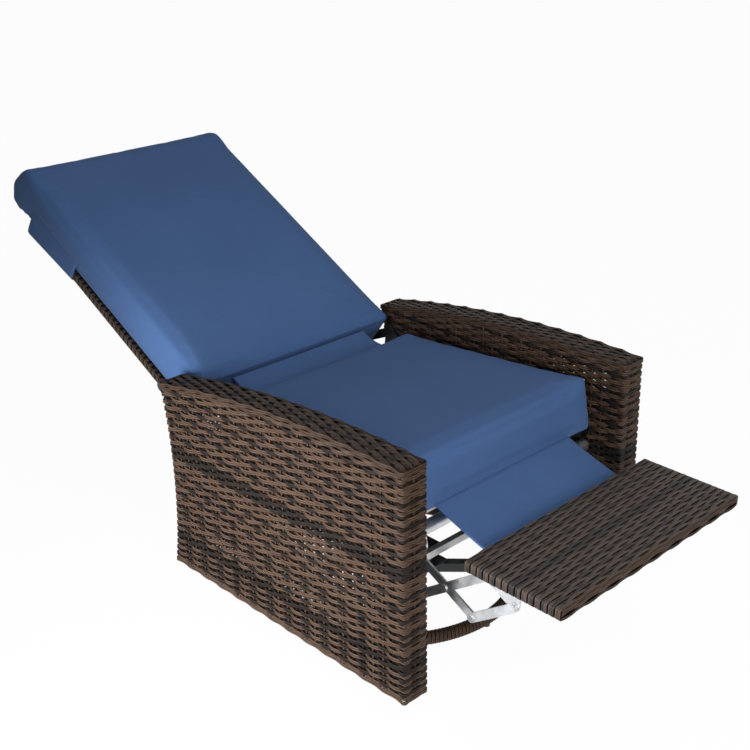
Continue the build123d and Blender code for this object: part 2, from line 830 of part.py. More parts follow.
# Footrest: a tube frame with two ribs, inside a woven cover
footrest_half = arm_inner - footrest_side_gap
footrest_inset = footrest_weave_wall + footrest_frame_gap
footrest_frame_s = (footrest_s[0] + footrest_inset, footrest_s[1] - footrest_inset)
rib_half = footrest_frame_tube / 2
footrest_plan = panel_plan(
    footrest_half - footrest_inset,
    footrest_frame_s,
    panel_corner - footrest_inset,
    footrest_frame_tube,
    [
        ((flange_middle - rib_half, flange_middle + rib_half), footrest_frame_s),
        ((-flange_middle - rib_half, rib_half - flange_middle), footrest_frame_s),
    ],
)
footrest_tubes = tube_frame(
    Plane.XY.offset(footrest_bottom + footrest_inset),
    footrest_plan,
    footrest_thickness - 2 * footrest_inset,
)
with BuildPart() as footrest_frame:
    add(footrest_tubes)
    add(footrest_screw_holes.part, mode=Mode.SUBTRACT)
write(footrest_frame, "footrest_frame")
footrest_cover = woven_panel(
    Plane.XY.offset(footrest_bottom),
    footrest_half,
    footrest_s,
    footrest_thickness,
    footrest_weave_wall,
    footrest_edge,
)
with BuildPart() as footrest_weave:
    add(footrest_cover)
    add(footrest_screw_holes.part, mode=Mode.SUBTRACT)
write(footrest_weave, "footrest_weave")

# Recline brackets: screwed to the arms, each with the pivot stud and two stop pins
bracket_legs = link((laid_back_stop, recline_pivot, bracket_foot), bracket_lobe, bracket_inner, arm_inner)
stop_points = (laid_back_stop, upright_stop)
stud_hole = rods((recline_pivot,), recline_stud_radius + fit_gap, bracket_inner, arm_inner)
stop_holes = rods(stop_points, stop_pin_radius + fit_gap, bracket_inner, arm_inner)
with BuildPart() as recline_bracket:
    add(bracket_legs)
    add(stud_hole, mode=Mode.SUBTRACT)
    add(stop_holes, mode=Mode.SUBTRACT)
    add(bracket_screw_holes, mode=Mode.SUBTRACT)
write_pair(recline_bracket, "recline_bracket")
with BuildPart() as bracket_screws:
    add(bracket_screw_shapes)
    mirror(about=Plane.YZ)
write(bracket_screws, "bracket_screws")
plate_outer = arm_inner - back_frame_side_gap + hinge_plate_thickness
plate_inner = arm_inner - back_frame_side_gap
stop_shapes = rods(stop_points, stop_pin_radius, plate_inner, arm_inner)
with BuildPart() as stop_pins:
    add(stop_shapes)
    mirror(about=Plane.YZ)
write(stop_pins, "stop_pins")
stud_shapes = headed_pins(
    (recline_pivot,),
    recline_stud_radius,
    recline_stud_head,
    recline_stud_head_height,
    arm_inner,
    plate_inner - rest_gap,
)
with BuildPart() as recline_studs:
    add(stud_shapes)
    mirror(about=Plane.YZ)
write(recline_studs, "recline_studs")
with BuildPart() as pivot_washers:
    with BuildSketch(Plane.YZ.offset(plate_outer + washer_gap)):
        with Locations(recline_pivot):
            Circle(washer_radius)
            Circle(recline_stud_radius + fit_gap, mode=Mode.SUBTRACT)
    extrude(amount=bracket_inner - plate_outer - 2 * washer_gap)
    mirror(about=Plane.YZ)
write(pivot_washers, "pivot_washers")

# Hinge plates: from the tail, past the stud, up the side of the back frame
back_frame_front = -back_cushion_depth - back_frame_gap
back_frame_rear = back_frame_front - back_frame_depth
rivet_level = (back_frame_front + back_frame_rear) / 2
rivet_points = [
    yz_of(back_plane, along, rivet_level) for along in (hinge_plate_foot, hinge_plate_reach)
]
tail_lever = link((recline_tail, recline_pivot), hinge_plate_tail_radius, plate_inner, plate_outer)
plate_arm = link((recline_pivot, *rivet_points), hinge_plate_width / 2, plate_inner, plate_outer)
stud_lobe = rods((recline_pivot,), recline_lobe, plate_inner, plate_outer)
plate_hole = rods((recline_pivot,), recline_stud_radius + fit_gap, plate_inner, plate_outer)
rivet_start = plate_outer - hinge_rivet_length
rivet_holes = rods(rivet_points, hinge_rivet_radius + fit_gap, rivet_start, plate_outer)
with BuildPart() as hinge_plate:
    add((tail_lever, plate_arm, stud_lobe))
    add((plate_hole, rivet_holes), mode=Mode.SUBTRACT)
write_pair(hinge_plate, "hinge_plate")
rivet_shapes = rods(rivet_points, hinge_rivet_radius, rivet_start, plate_outer)
with BuildPart() as hinge_rivets:
    add(rivet_shapes)
    mirror(about=Plane.YZ)
write(hinge_rivets, "hinge_rivets")

# Back frame: a tube frame with two cross bars, inside a woven cover
back_inset = back_weave_wall + arm_frame_gap
back_half = plate_inner
back_s = (back_frame_start, back_frame_end)
back_frame_s = (back_s[0] + back_inset, back_s[1] - back_inset)
back_frame_x = (back_inset - back_half, back_half - back_inset)
back_bars = [
    (
        back_frame_x,
        (
            back_frame_end * share - back_frame_tube / 2,
            back_frame_end * share + back_frame_tube / 2,
        ),
    )
    for share in back_bar_place_shares
]
back_plan = panel_plan(
    back_half - back_inset,
    back_frame_s,
    panel_corner - back_inset,
    back_frame_tube,
    back_bars,
)
back_tubes = tube_frame(
    back_plane.offset(back_frame_rear + back_inset),
    back_plan,
    back_frame_depth - 2 * back_inset,
)
back_cover = woven_panel(
    back_plane.offset(back_frame_rear),
    back_half,
    back_s,
    back_frame_depth,
    back_weave_wall,
    back_weave_edge,
)
with BuildPart() as rivet_holes_both:
    add(rivet_holes)
    mirror(about=Plane.YZ)
for name, body in {"back_frame": back_tubes, "back_weave": back_cover}.items():
    with BuildPart() as back_piece:
        add(body)
        add(rivet_holes_both.part, mode=Mode.SUBTRACT)
    write(back_piece, name)


def side_plane(plane, x):
    """Plane square to X, whose axes run along and above a tilted plane."""
    return Plane(origin=plane.from_local_coords((x, 0, 0)), x_dir=plane.y_dir, z_dir=(1, 0, 0))


def cushion(plane, corners, crown, corner_radius, stations):
    """Soft block: side profiles, each (x, inset, end_cut), joined from side to side.

    The first two corners bound the crowned face. An inset draws a profile in all round,
    and an end cut shortens its far end.
    """
    far = max(along for along, level in corners)
    with BuildPart() as block:
        for x, inset, end_cut in stations:
            points = [
                (along - end_cut if along > far / 2 else along, level) for along, level in corners
            ]
            first, second = points[0], points[1]
            top = ((first[0] + second[0]) / 2, (first[1] + second[1]) / 2 + crown)
            with BuildSketch(side_plane(plane, x)) as profile:
                with BuildLine():
                    ThreePointArc(first, top, second)
                    Polyline(*points[1:], first)
                make_face()
                if inset:
                    offset(amount=-inset, kind=Kind.INTERSECTION)
                fillet(profile.vertices(), radius=corner_radius)
        loft(ruled=True)
    return block.part


# Seat cushion: a deep block with a crowned top and drawn-in sides
cushion_half = arm_inner - cushion_side_gap
seat_stations = (
    (-cushion_half, seat_cushion_corner, 0),
    (seat_cushion_corner - cushion_half, 0, 0),
    (cushion_half - seat_cushion_corner, 0, 0),
    (cushion_half, seat_cushion_corner, 0),
)
seat_block = cushion(
    seat_plane,
    (
        (0, seat_cushion_height),
        (seat_cushion_length, seat_cushion_height),
        (seat_cushion_length, 0),
        (-seat_cushion_lean, 0),
    ),
    seat_cushion_crown,
    seat_cushion_corner,
    seat_stations,
)
with BuildPart() as seat_cushion:
    add(seat_block)
write(seat_cushion, "seat_cushion")

# Back cushion: longer, with its top leaning back over the woven panel
back_stations = (
    (-cushion_half, back_cushion_corner, back_cushion_top_cut),
    (back_cushion_corner - cushion_half, 0, back_cushion_top_cut / 4),
    (2 * back_cushion_corner - cushion_half, 0, 0),
    (cushion_half - 2 * back_cushion_corner, 0, 0),
    (cushion_half - back_cushion_corner, 0, back_cushion_top_cut / 4),
    (cushion_half, back_cushion_corner, back_cushion_top_cut),
)
hood_end = back_frame_end + rest_gap + hood_top_wall
back_block = cushion(
    back_plane,
    (
        (0, 0),
        (back_cushion_length, 0),
        (back_cushion_length + back_cushion_top_lean, -back_cushion_top_depth),
        (hood_end + back_cushion_corner, -back_cushion_depth),
        (back_cushion_heel, -back_cushion_depth),
    ),
    back_cushion_crown,
    back_cushion_corner,
    back_stations,
)
with BuildPart() as back_cushion:
    add(back_block)
write(back_cushion, "back_cushion")

# Hood: a pocket of cushion cloth over the top of the woven panel
hood_front = back_frame_front - rest_gap + back_frame_gap
pocket_back = back_frame_rear - rest_gap
pocket_half = back_half + rest_gap
hood_block = slab(
    back_plane,
    (-pocket_half - hood_side_wall, pocket_half + hood_side_wall),
    (hood_start, hood_end),
    (pocket_back - hood_back_wall, hood_front),
)
pocket = slab(
    back_plane,
    (-pocket_half, pocket_half),
    (hood_start - overrun, back_frame_end + rest_gap),
    (pocket_back, hood_front + overrun),
)
with BuildPart() as back_hood:
    add(hood_block)
    rear_face = back_hood.faces().sort_by(Axis(back_plane.origin, back_plane.z_dir))[0]
    fillet(rear_face.edges(), radius=hood_edge)
    add(pocket, mode=Mode.SUBTRACT)
write(back_hood, "back_hood")


def cloth(points, sags, width):
    """Loose cloth across the chair through side-view points, with the sag of each span."""
    under = [(ahead, height - cloth_thickness) for ahead, height in points]
    with BuildPart() as sheet:
        with BuildSketch(Plane.YZ.offset(-width / 2)):
            with BuildLine():
                for path in (points, under):
                    for start, end, sag in zip(path, path[1:], sags):
                        middle = ((start[0] + end[0]) / 2, (start[1] + end[1]) / 2 - sag)
                        if sag:
                            ThreePointArc(start, middle, end)
                        else:
                            Line(start, end)
                Line(points[0], under[0])
                Line(points[-1], under[-1])
            make_face()
        extrude(amount=width)
    return sheet.part


# Front flap: from the front of the deck, under the cushion, down to the footrest
flap_cloth = cloth(
    (
        yz_of(seat_plane, seat_rail_setback - rest_gap, -rest_gap),
        (-flap_top_ahead, flap_top_height),
        (-flap_fold_ahead, flap_fold_height),
        (-footrest_rear_ahead + rest_gap, flap_end_height),
    ),
    (0, flap_sag, 0),
    flap_width,
)

# Seat strip: from the rear edge of the seat cushion to the lower edge of the back cushion
seam_reach = seat_cushion_corner + rest_gap
strip_start = yz_of(
    seat_plane,
    seat_cushion_length - seat_cushion_corner + seam_reach * cos(radians(strip_seam_angle)),
    seat_cushion_height - seat_cushion_corner + seam_reach * sin(radians(strip_seam_angle)),
)
strip_cloth = cloth(
    (
        (strip_start[0], strip_start[1] + cloth_thickness),
        yz_of(back_plane, -rest_gap, -back_cushion_corner),
    ),
    (strip_sag,),
    strip_width,
)
for name, cut in {"front_flap": flap_cloth, "seat_strip": strip_cloth}.items():
    with BuildPart() as loose_cloth:
        add(cut)
    write(loose_cloth, name)
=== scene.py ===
from math import atan2, cos, hypot, pi, radians, sin, sqrt

import bmesh
import bpy
import numpy as np
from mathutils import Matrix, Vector


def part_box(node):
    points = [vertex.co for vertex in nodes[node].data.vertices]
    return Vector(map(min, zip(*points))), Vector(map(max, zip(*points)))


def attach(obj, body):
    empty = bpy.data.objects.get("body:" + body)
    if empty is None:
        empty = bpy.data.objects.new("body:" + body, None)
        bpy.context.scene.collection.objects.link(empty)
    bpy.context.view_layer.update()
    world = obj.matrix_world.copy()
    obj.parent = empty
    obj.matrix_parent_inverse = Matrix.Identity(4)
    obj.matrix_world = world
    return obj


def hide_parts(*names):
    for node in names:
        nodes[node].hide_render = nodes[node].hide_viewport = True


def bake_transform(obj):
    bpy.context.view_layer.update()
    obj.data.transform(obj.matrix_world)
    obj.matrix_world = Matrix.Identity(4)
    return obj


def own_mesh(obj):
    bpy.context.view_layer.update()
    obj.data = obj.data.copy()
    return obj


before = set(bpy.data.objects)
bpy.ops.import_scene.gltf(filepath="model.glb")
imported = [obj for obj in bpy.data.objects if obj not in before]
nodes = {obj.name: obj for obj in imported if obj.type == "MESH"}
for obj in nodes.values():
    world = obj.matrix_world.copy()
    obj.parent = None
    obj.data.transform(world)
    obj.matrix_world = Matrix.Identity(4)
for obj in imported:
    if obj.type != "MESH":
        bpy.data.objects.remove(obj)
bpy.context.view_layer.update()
scene = bpy.context.scene


# ---- Camera and studio ----
# The photograph's viewpoint: from the sitter's right front corner, looking down 24
# degrees. A white floor takes the shadow, and the lamps light the chair from its right.
camera_place = (-1.588, -1.564, 1.443)
camera_turn, camera_drop = radians(-44.45), radians(24.0)


def add(name, data):
    """Object in the scene, made of its data."""
    made = bpy.data.objects.new(name, data)
    scene.collection.objects.link(made)
    return made


def add_mesh(name, points, edges=(), faces=()):
    """Mesh object in the scene."""
    mesh = bpy.data.meshes.new(name)
    mesh.from_pydata(points, edges, faces)
    return add(name, mesh)


camera = add("camera", bpy.data.cameras.new("camera"))
camera.data.sensor_width = 36
camera.data.lens = 60.69
camera.location = camera_place
camera.rotation_euler = (pi / 2 - camera_drop, 0, camera_turn)
scene.camera = camera
scene.view_settings.view_transform = "Standard"


def colour(code):
    """sRGB hex code as linear red, green, blue and alpha."""
    parts = [int(code[i : i + 2], 16) / 255 for i in (1, 3, 5)]
    return [p / 12.92 if p <= 0.04045 else ((p + 0.055) / 1.055) ** 2.4 for p in parts] + [1]


def node(tree, kind, inputs=None, **settings):
    """Add a node with its settings and inputs, where an input may be another's output."""
    made = tree.nodes.new(kind)
    for name, value in settings.items():
        setattr(made, name, value)
    for name, value in (inputs or {}).items():
        if isinstance(value, bpy.types.NodeSocket):
            tree.links.new(value, made.inputs[name])
        else:
            made.inputs[name].default_value = value
    return made.outputs


def ramp(tree, factor, *stops):
    """Colour ramp through (place, hex code) stops."""
    outputs = node(tree, "ShaderNodeValToRGB", {0: factor})
    row = tree.nodes[-1].color_ramp.elements
    while len(row) < len(stops):
        row.new(0.5)
    for element, (place, code) in zip(row, stops):
        element.position = place
        element.color = colour(code)
    return outputs["Color"]


def new_material(name):
    """Empty material and its node tree."""
    made = bpy.data.materials.new(name)
    made.use_nodes = True
    made.node_tree.nodes.clear()
    return made, made.node_tree


def surface(tree, **inputs):
    """Principled shader to the material's output. Names are the shader's own sockets."""
    sockets = {name.replace("_", " "): value for name, value in inputs.items()}
    shader = node(tree, "ShaderNodeBsdfPrincipled", sockets)
    node(tree, "ShaderNodeOutputMaterial", {"Surface": shader["BSDF"]})


def seen_by_view(tree):
    """1 for camera, mirror and glass rays, which see the white studio."""
    ray = node(tree, "ShaderNodeLightPath")
    seen = ray["Is Camera Ray"]
    for kind in ("Is Glossy Ray", "Is Transmission Ray"):
        either = {0: seen, 1: ray[kind]}
        seen = node(tree, "ShaderNodeMath", either, operation="ADD", use_clamp=True)[0]
    return seen


# The floor is matt white paper: a share of plain white keeps its shadow light
floor_white_share = 0.97
floor_half = 14
floor_paper, tree = new_material("studio_paper")
matt = node(tree, "ShaderNodeBsdfDiffuse", {"Color": colour("#f2f2f0")})
white = node(tree, "ShaderNodeEmission", {"Color": (1, 1, 1, 1), "Strength": 1.0})
share = {0: seen_by_view(tree), 1: floor_white_share}
lit = node(tree, "ShaderNodeMath", share, operation="MULTIPLY")
paper = node(tree, "ShaderNodeMixShader", {0: lit[0], 1: matt[0], 2: white[0]})
node(tree, "ShaderNodeOutputMaterial", {"Surface": paper[0]})
corners = ((-1, -1), (1, -1), (1, 1), (-1, 1))
corners = [(x * floor_half, y * floor_half, 0) for x, y in corners]
floor = add_mesh("floor", corners, faces=[(0, 1, 2, 3)])
floor.data.materials.append(floor_paper)

# The world is white to the eye and a softer grey as a light
world_light = 0.12
world = bpy.data.worlds.new("studio")
world.use_nodes = True
scene.world = world
tree = world.node_tree
tree.nodes.clear()
levels = {"Value": seen_by_view(tree), "To Min": world_light, "To Max": 1.0}
strength = node(tree, "ShaderNodeMapRange", levels)[0]
backdrop = node(tree, "ShaderNodeBackground", {"Color": (1, 1, 1, 1), "Strength": strength})
node(tree, "ShaderNodeOutputWorld", {"Surface": backdrop[0]})

# Lamps: (name, place, target, size, watts). The key is a wide spot with a soft rim, which
# leaves the head of the chair dimmer than the arm
key_cone = radians(57)
for title, place, target, size, watts in (
    ("key", (-1.9, -0.1, 0.44), (-0.3, -0.02, 0.25), 0.3, 270),
    ("front", (-0.9, -1.9, 0.8), (0, -0.05, 0.35), 1.0, 31),
    ("top", (0.0, -0.5, 2.4), (0, 0.0, 0.35), 1.6, 20),
):
    lamp = bpy.data.lights.new(title, "SPOT" if title == "key" else "AREA")
    if title == "key":
        lamp.spot_size = key_cone
        lamp.spot_blend = 1.0
        lamp.shadow_soft_size = size
    else:
        lamp.size = size
    lamp.energy = watts
    hung = add(title, lamp)
    hung.location = place
    hung.rotation_euler = (Vector(target) - Vector(place)).to_track_quat("-Z", "Y").to_euler()


# ---- Base ring and its steel ----
# A bent steel tube ring with a welded cross of square tube under the swivel.
# The steel is powder coated black, and stands on moulded glides.
def dress(names, made):
    """Give CAD nodes a finished material."""
    for name in names:
        for place in nodes[name].material_slots:
            place.material = made


def both_sides(*names):
    """Names of the left and right nodes of each kind."""
    return [f"{name}_{end}" for name in names for end in ("left", "right")]


def hard_material(name, stops, clouds, relief, roughness, bump, metallic=0.0):
    """Metal, plastic or board: colour and dullness follow one noise, and relief another.

    A noise is (its scale by the metre along X, Y and Z, detail), a bump is (strength, height).
    """
    made, tree = new_material(name)
    spot = node(tree, "ShaderNodeTexCoord")["Object"]
    noises = []
    for scale, detail in (clouds, relief):
        laid = node(tree, "ShaderNodeMapping", {"Vector": spot, "Scale": scale})
        settings = {"Vector": laid[0], "Scale": 1.0, "Detail": detail}
        noises.append(node(tree, "ShaderNodeTexNoise", settings)[0])
    dull = {"Value": noises[0], "To Min": roughness[0], "To Max": roughness[1]}
    skin = {"Height": noises[1], "Strength": bump[0], "Distance": bump[1]}
    surface(
        tree,
        Base_Color=ramp(tree, noises[0], *stops),
        Metallic=metallic,
        Roughness=node(tree, "ShaderNodeMapRange", dull)[0],
        Normal=node(tree, "ShaderNodeBump", skin)[0],
    )
    return made


# Powder coat is polyester powder fused in an oven: a satin black with an orange-peel
# skin of 1.5 mm waves, a little duller where it is handled
peel_wave = 0.0015
handled_patches = 18.0
black_coat = hard_material(
    "powder_coated_steel_black",
    ((0.3, "#0c0d0f"), (0.7, "#151719")),
    clouds=([handled_patches] * 3, 3.0),
    relief=([1 / peel_wave] * 3, 2.0),
    roughness=(0.34, 0.52),
    bump=(0.12, 0.0004),
)
black_steel = """
    base_ring cross_bar_halves cross_bar_long swivel_lower_plate swivel_upper_plate
    seat_cross_rails footrest_frame back_frame bracket_screws stop_pins recline_studs
    pivot_washers hinge_rivets
""".split()
black_steel += both_sides("arm_frame", "seat_rail", "recline_bracket", "hinge_plate")
dress(black_steel, black_coat)

# Glides are polypropylene, moulded: matt black with a faint spark-eroded grain
glide_grain = 0.0006
pits = ([1 / glide_grain] * 3, 2.0)
glide_plastic = hard_material(
    "moulded_polypropylene_black",
    ((0.35, "#101010"), (0.65, "#181818")),
    clouds=pits,
    relief=pits,
    roughness=(0.5, 0.66),
    bump=(0.2, 0.0002),
)
dress(["ring_glides"], glide_plastic)


# ---- Ring binding ----
# Flat wicker strand wound round the ring tube, turn beside turn, by hand.
# The strand is polyethylene resin, extruded with ridges along its outer face.

# Shares of a strand's thickness: its edges, the rise to its middle, the grooves beside
# its ridges, and its back. Its back is flat up to a share of its width
edge_share, rise_share, groove_share, back_share = 0.16, 0.34, 0.34, 0.4
flat_share = 0.42


def strand_profile(name, width, thickness, ribs):
    """Cross-section of a strand: a ribbed outer face and a flat back, with thin edges."""
    steps = 2 * ribs + 1
    points = []
    for step in range(steps):
        # The arch ends at 0.48 of its span and is stretched to the strand's width
        across = -0.48 + 0.96 * step / (steps - 1)
        swell = (1 - (2 * across) ** 6) * rise_share + edge_share
        low = 0 if step % 2 else groove_share * thickness
        points.append((thickness * swell - low * (0 < step < steps - 1), width * across * 1.04))
    back = -thickness * back_share
    points += [(back, width * flat_share), (back, -width * flat_share)]
    count = len(points)
    ring = [(i, (i + 1) % count) for i in range(count)]
    profile = add_mesh(name, [(x, y, 0) for x, y in points], ring)
    share = profile.data.attributes.new("across", "FLOAT", "POINT")
    share.data.foreach_set("value", [y / width + 0.5 for x, y in points])
    return profile


def strand_tree():
    """Geometry Nodes: each path, lifted and sunk by its lift, carries the strand's profile."""
    tree = bpy.data.node_groups.new("strand along its path", "GeometryNodeTree")
    for title, kind in (
        ("Paths", "Geometry"),
        ("Profile", "Object"),
        ("Weave depth", "Float"),
        ("Resin", "Material"),
    ):
        tree.interface.new_socket(title, in_out="INPUT", socket_type="NodeSocket" + kind)
    tree.interface.new_socket("Strands", in_out="OUTPUT", socket_type="NodeSocketGeometry")
    given = node(tree, "NodeGroupInput")
    read = {}
    for title in ("out", "lift", "start", "along", "across"):
        kind = "FLOAT_VECTOR" if title == "out" else "FLOAT"
        named = node(tree, "GeometryNodeInputNamedAttribute", {"Name": title}, data_type=kind)
        read[title] = named[0]
    rise = {0: read["lift"], 1: given["Weave depth"]}
    depth = node(tree, "ShaderNodeMath", rise, operation="MULTIPLY")
    push = {0: read["out"], "Scale": depth[0]}
    shift = node(tree, "ShaderNodeVectorMath", push, operation="SCALE")
    lines = node(tree, "GeometryNodeMeshToCurve", {"Mesh": given["Paths"]})
    woven = node(tree, "GeometryNodeSetPosition", {"Geometry": lines[0], "Offset": shift[0]})
    upright = {"Curve": woven[0], "Normal": read["out"]}
    facing = node(tree, "GeometryNodeSetCurveNormal", upright, mode="FREE")
    travel = node(tree, "GeometryNodeSplineParameter")["Length"]
    place = node(tree, "ShaderNodeMath", {0: travel, 1: read["start"]}, operation="ADD")
    store = "GeometryNodeStoreNamedAttribute"
    marked = node(tree, store, {"Geometry": facing[0], "Name": "along", "Value": place[0]})
    section = node(tree, "GeometryNodeObjectInfo", {"Object": given["Profile"]})["Geometry"]
    section_line = node(tree, "GeometryNodeMeshToCurve", {"Mesh": section})
    sweep = {"Curve": marked[0], "Profile Curve": section_line[0], "Fill Caps": True}
    swept = node(tree, "GeometryNodeCurveToMesh", sweep)
    pair = node(tree, "ShaderNodeCombineXYZ", {"X": read["along"], "Y": read["across"]})
    uv = {"Geometry": swept[0], "Name": "UVMap", "Value": pair[0]}
    mapped = node(tree, store, uv, data_type="FLOAT2", domain="CORNER")
    smooth = node(tree, "GeometryNodeSetShadeSmooth", {"Geometry": mapped[0]})
    real = node(tree, "GeometryNodeRealizeInstances", {"Geometry": smooth[0]})
    skin = {"Geometry": real[0], "Material": given["Resin"]}
    dressed = node(tree, "GeometryNodeSetMaterial", skin)
    node(tree, "NodeGroupOutput", {"Strands": dressed[0]})
    return tree


strands = strand_tree()
# How far along the resin's marbling each strand starts after the one before it
marbling_shift = 3.7


def columns(*parts):
    """Points from their coordinates, each of them an array or one number for all."""
    return np.stack(np.broadcast_arrays(*parts), -1)


def strand_path(points, out, lift=0, tone=0, closed=False):
    """Path of one strand: which way is out, its lift as a share of the weave, its dye."""
    count = len(points)
    return {
        "points": np.asarray(points, float),
        "out": np.broadcast_to(out, (count, 3)),
        "lift": np.broadcast_to(lift, count),
        "tone": np.full(count, tone, float),
        "closed": closed,
    }


def weave(name, paths, profile, depth, resin):
    """Piece of wicker: a strand along each path, of a profile, weave depth and resin."""
    paths = list(paths)
    edges = []
    first = 0
    for number, path in enumerate(paths):
        count = len(path["points"])
        edges += [(first + i, first + i + 1) for i in range(count - 1)]
        if path["closed"]:
            edges.append((first + count - 1, first))
        path["start"] = np.full(count, marbling_shift * number)
        first += count
    points = np.concatenate([path["points"] for path in paths])
    lines = add_mesh(name + "_paths", points.tolist(), edges)
    for title in ("out", "lift", "tone", "start"):
        kind, field = ("FLOAT_VECTOR", "vector") if title == "out" else ("FLOAT", "value")
        values = np.concatenate([path[title] for path in paths]).astype(np.float32)
        lines.data.attributes.new(title, kind, "POINT").data.foreach_set(field, values.ravel())
    grow = lines.modifiers.new("strands", "NODES")
    grow.node_group = strands
    for title, value in (("Profile", profile), ("Weave depth", depth), ("Resin", resin)):
        grow[strands.interface.items_tree[title].identifier] = value
    return plain_copy(lines, name)


def plain_copy(made, name=None):
    """Plain mesh of an object's evaluated shape, in place of the object."""
    name = name or made.name
    bpy.context.view_layer.update()
    graph = bpy.context.evaluated_depsgraph_get()
    mesh = bpy.data.meshes.new_from_object(made.evaluated_get(graph))
    mesh.name = name
    bpy.data.objects.remove(made)
    return add(name, mesh)


# Extruded polyethylene, marbled in the die from two browns and a near-black: each strand
# is streaked along its length, slightly waxy, and dyed darker in some rows. The marbling
# is measured in metres along and strand widths across, and the fine streaks are counted
marbling_length = 0.09
marbling_width = 0.35
fine_streaks = (38.0, 11.0, 1)
# Ridges across a strand: painted shade darkens the groove between them and the strand's edges
ridges_across = 2


def resin_material(name, gloss, light, middle, dark, shade):
    """Marbled strand resin, with painted shade in the groove between its ridges and along its
    edges. Rows dyed black have tone 1.
    """
    made, tree = new_material(name)
    uv = node(tree, "ShaderNodeUVMap", uv_map="UVMap")[0]
    scale = (1 / marbling_length, 1 / marbling_width, 1)
    long = node(tree, "ShaderNodeMapping", {"Vector": uv, "Scale": scale})
    fine = node(tree, "ShaderNodeMapping", {"Vector": uv, "Scale": fine_streaks})
    marble = node(tree, "ShaderNodeTexNoise", {"Vector": long[0], "Scale": 1.0, "Detail": 3.0})
    streaks = node(tree, "ShaderNodeTexNoise", {"Vector": fine[0], "Scale": 1.0, "Detail": 4.0})
    mixed = node(tree, "ShaderNodeMath", {0: marble[0], 1: streaks[0]}, operation="ADD")
    halved = node(tree, "ShaderNodeMath", {0: mixed[0], 1: 0.5}, operation="MULTIPLY")
    brown = ramp(tree, halved[0], (0.38, dark), (0.46, middle), (0.6, light))
    black = ramp(tree, halved[0], (0.4, "#090706"), (0.52, shade), (0.68, "#1e1812"))
    tone = node(tree, "ShaderNodeAttribute", attribute_name="tone")["Fac"]
    spread = {"Value": marble[0], "From Min": 0.36, "From Max": 0.64}
    spread |= {"To Min": -0.22, "To Max": 0.22}
    mottle = node(tree, "ShaderNodeMapRange", spread)
    share = node(tree, "ShaderNodeMath", {0: tone, 1: mottle[0]}, operation="ADD", use_clamp=True)
    dyed = {"Factor": share[0], "A": brown, "B": black}
    skin = node(tree, "ShaderNodeMix", dyed, data_type="RGBA")["Result"]
    parts = node(tree, "ShaderNodeSeparateXYZ", {0: uv})
    turn = {0: parts["Y"], 1: 2 * pi * ridges_across}
    turns = node(tree, "ShaderNodeMath", turn, operation="MULTIPLY")
    wave = node(tree, "ShaderNodeMath", {0: turns[0]}, operation="COSINE")
    # Painted shade: the skin is mixed towards near-black #080504 in the middle groove and along
    # both edges, where rows meet
    deep = {"Value": wave[0], "From Min": 0.1, "From Max": 0.9, "To Max": 0.85}
    groove = node(tree, "ShaderNodeMapRange", deep)
    painted_groove_shade = {"Factor": groove[0], "A": skin, "B": colour("#080504")}
    groove_shaded_skin = node(tree, "ShaderNodeMix", painted_groove_shade, data_type="RGBA")["Result"]
    rough = node(tree, "ShaderNodeMapRange", {"Value": streaks[0], "To Min": 0.42, "To Max": 0.66})
    bumpy = {"Height": streaks[0], "Strength": 0.35, "Distance": 0.0006}
    scratch = node(tree, "ShaderNodeBump", bumpy)
    surface(
        tree,
        Base_Color=groove_shaded_skin,
        Roughness=rough[0],
        Normal=scratch[0],
        Specular_IOR_Level=gloss,
    )
    return made


resin = resin_material(
    "extruded_polyethylene_wicker", 0.14, "#5c493b", "#463429", "#231812", "#0f0a08"
)

ring_low, ring_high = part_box("ring_binding")
bound_radius = (ring_high.z - ring_low.z) / 2
ring_middle = ring_high.x - bound_radius
ring_level = ring_low.z + bound_radius
binding_width = 0.0075
binding_thickness = 0.0022
binding_gap = 1.04
binding_sink = 0.0012
binding_tone = 0.15
binding_turns = int(2 * pi * ring_middle / (binding_width * binding_gap))
turn_steps = 12
count = binding_turns * turn_steps
turn = np.arange(count) / turn_steps * 2 * pi
ahead = np.arange(count) / count * 2 * pi
away = columns(np.cos(ahead) * np.cos(turn), np.sin(ahead) * np.cos(turn), np.sin(turn))
spine = columns(ring_middle * np.cos(ahead), ring_middle * np.sin(ahead), ring_level)
binding_strand = strand_profile("binding_strand", binding_width, binding_thickness, 1)
wound = spine + away * (bound_radius - binding_sink)
wound_strand = strand_path(wound, away, tone=binding_tone, closed=True)
ring_strands = weave("ring_binding_strands", [wound_strand], binding_strand, 0, resin)
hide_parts("ring_binding")
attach(ring_strands, "base")


# ---- Swivel bearing ----
# Two plates, two races and a ring of balls, clamped by a centre bolt and four bolts.
# The bearing is mild steel with a bright zinc plate, as are the footrest's flat bars.

# Barrel-plated zinc: a pale blue-white metal, clouded by passivation over some 20 mm
# and finely scratched by tumbling
cloud_size = 0.02
scratches = (900.0, 160.0, 900.0)
zinc = hard_material(
    "zinc_plated_steel",
    ((0.3, "#bfc2c5"), (0.7, "#dadcde")),
    clouds=([1 / cloud_size] * 3, 4.0),
    relief=(scratches, 2.0),
    roughness=(0.34, 0.5),
    bump=(0.06, 0.0002),
    metallic=1.0,
)
zinc_steel = """
    bearing_lower_race bearing_upper_race bearing_balls swivel_spindle spindle_nut
    swivel_bolts seat_rail_bolts lower_cross_rails cross_tubes main_pivot_pins
    main_arm_pins footrest_pins follower_pivot_pins follower_tail_pins footrest_screws
""".split()
zinc_steel += both_sides("mechanism_plate", "main_arm", "rear_lift_bar", "front_lift_bar")
zinc_steel += both_sides("follower_link", "footrest_bracket")
dress(zinc_steel, zinc)


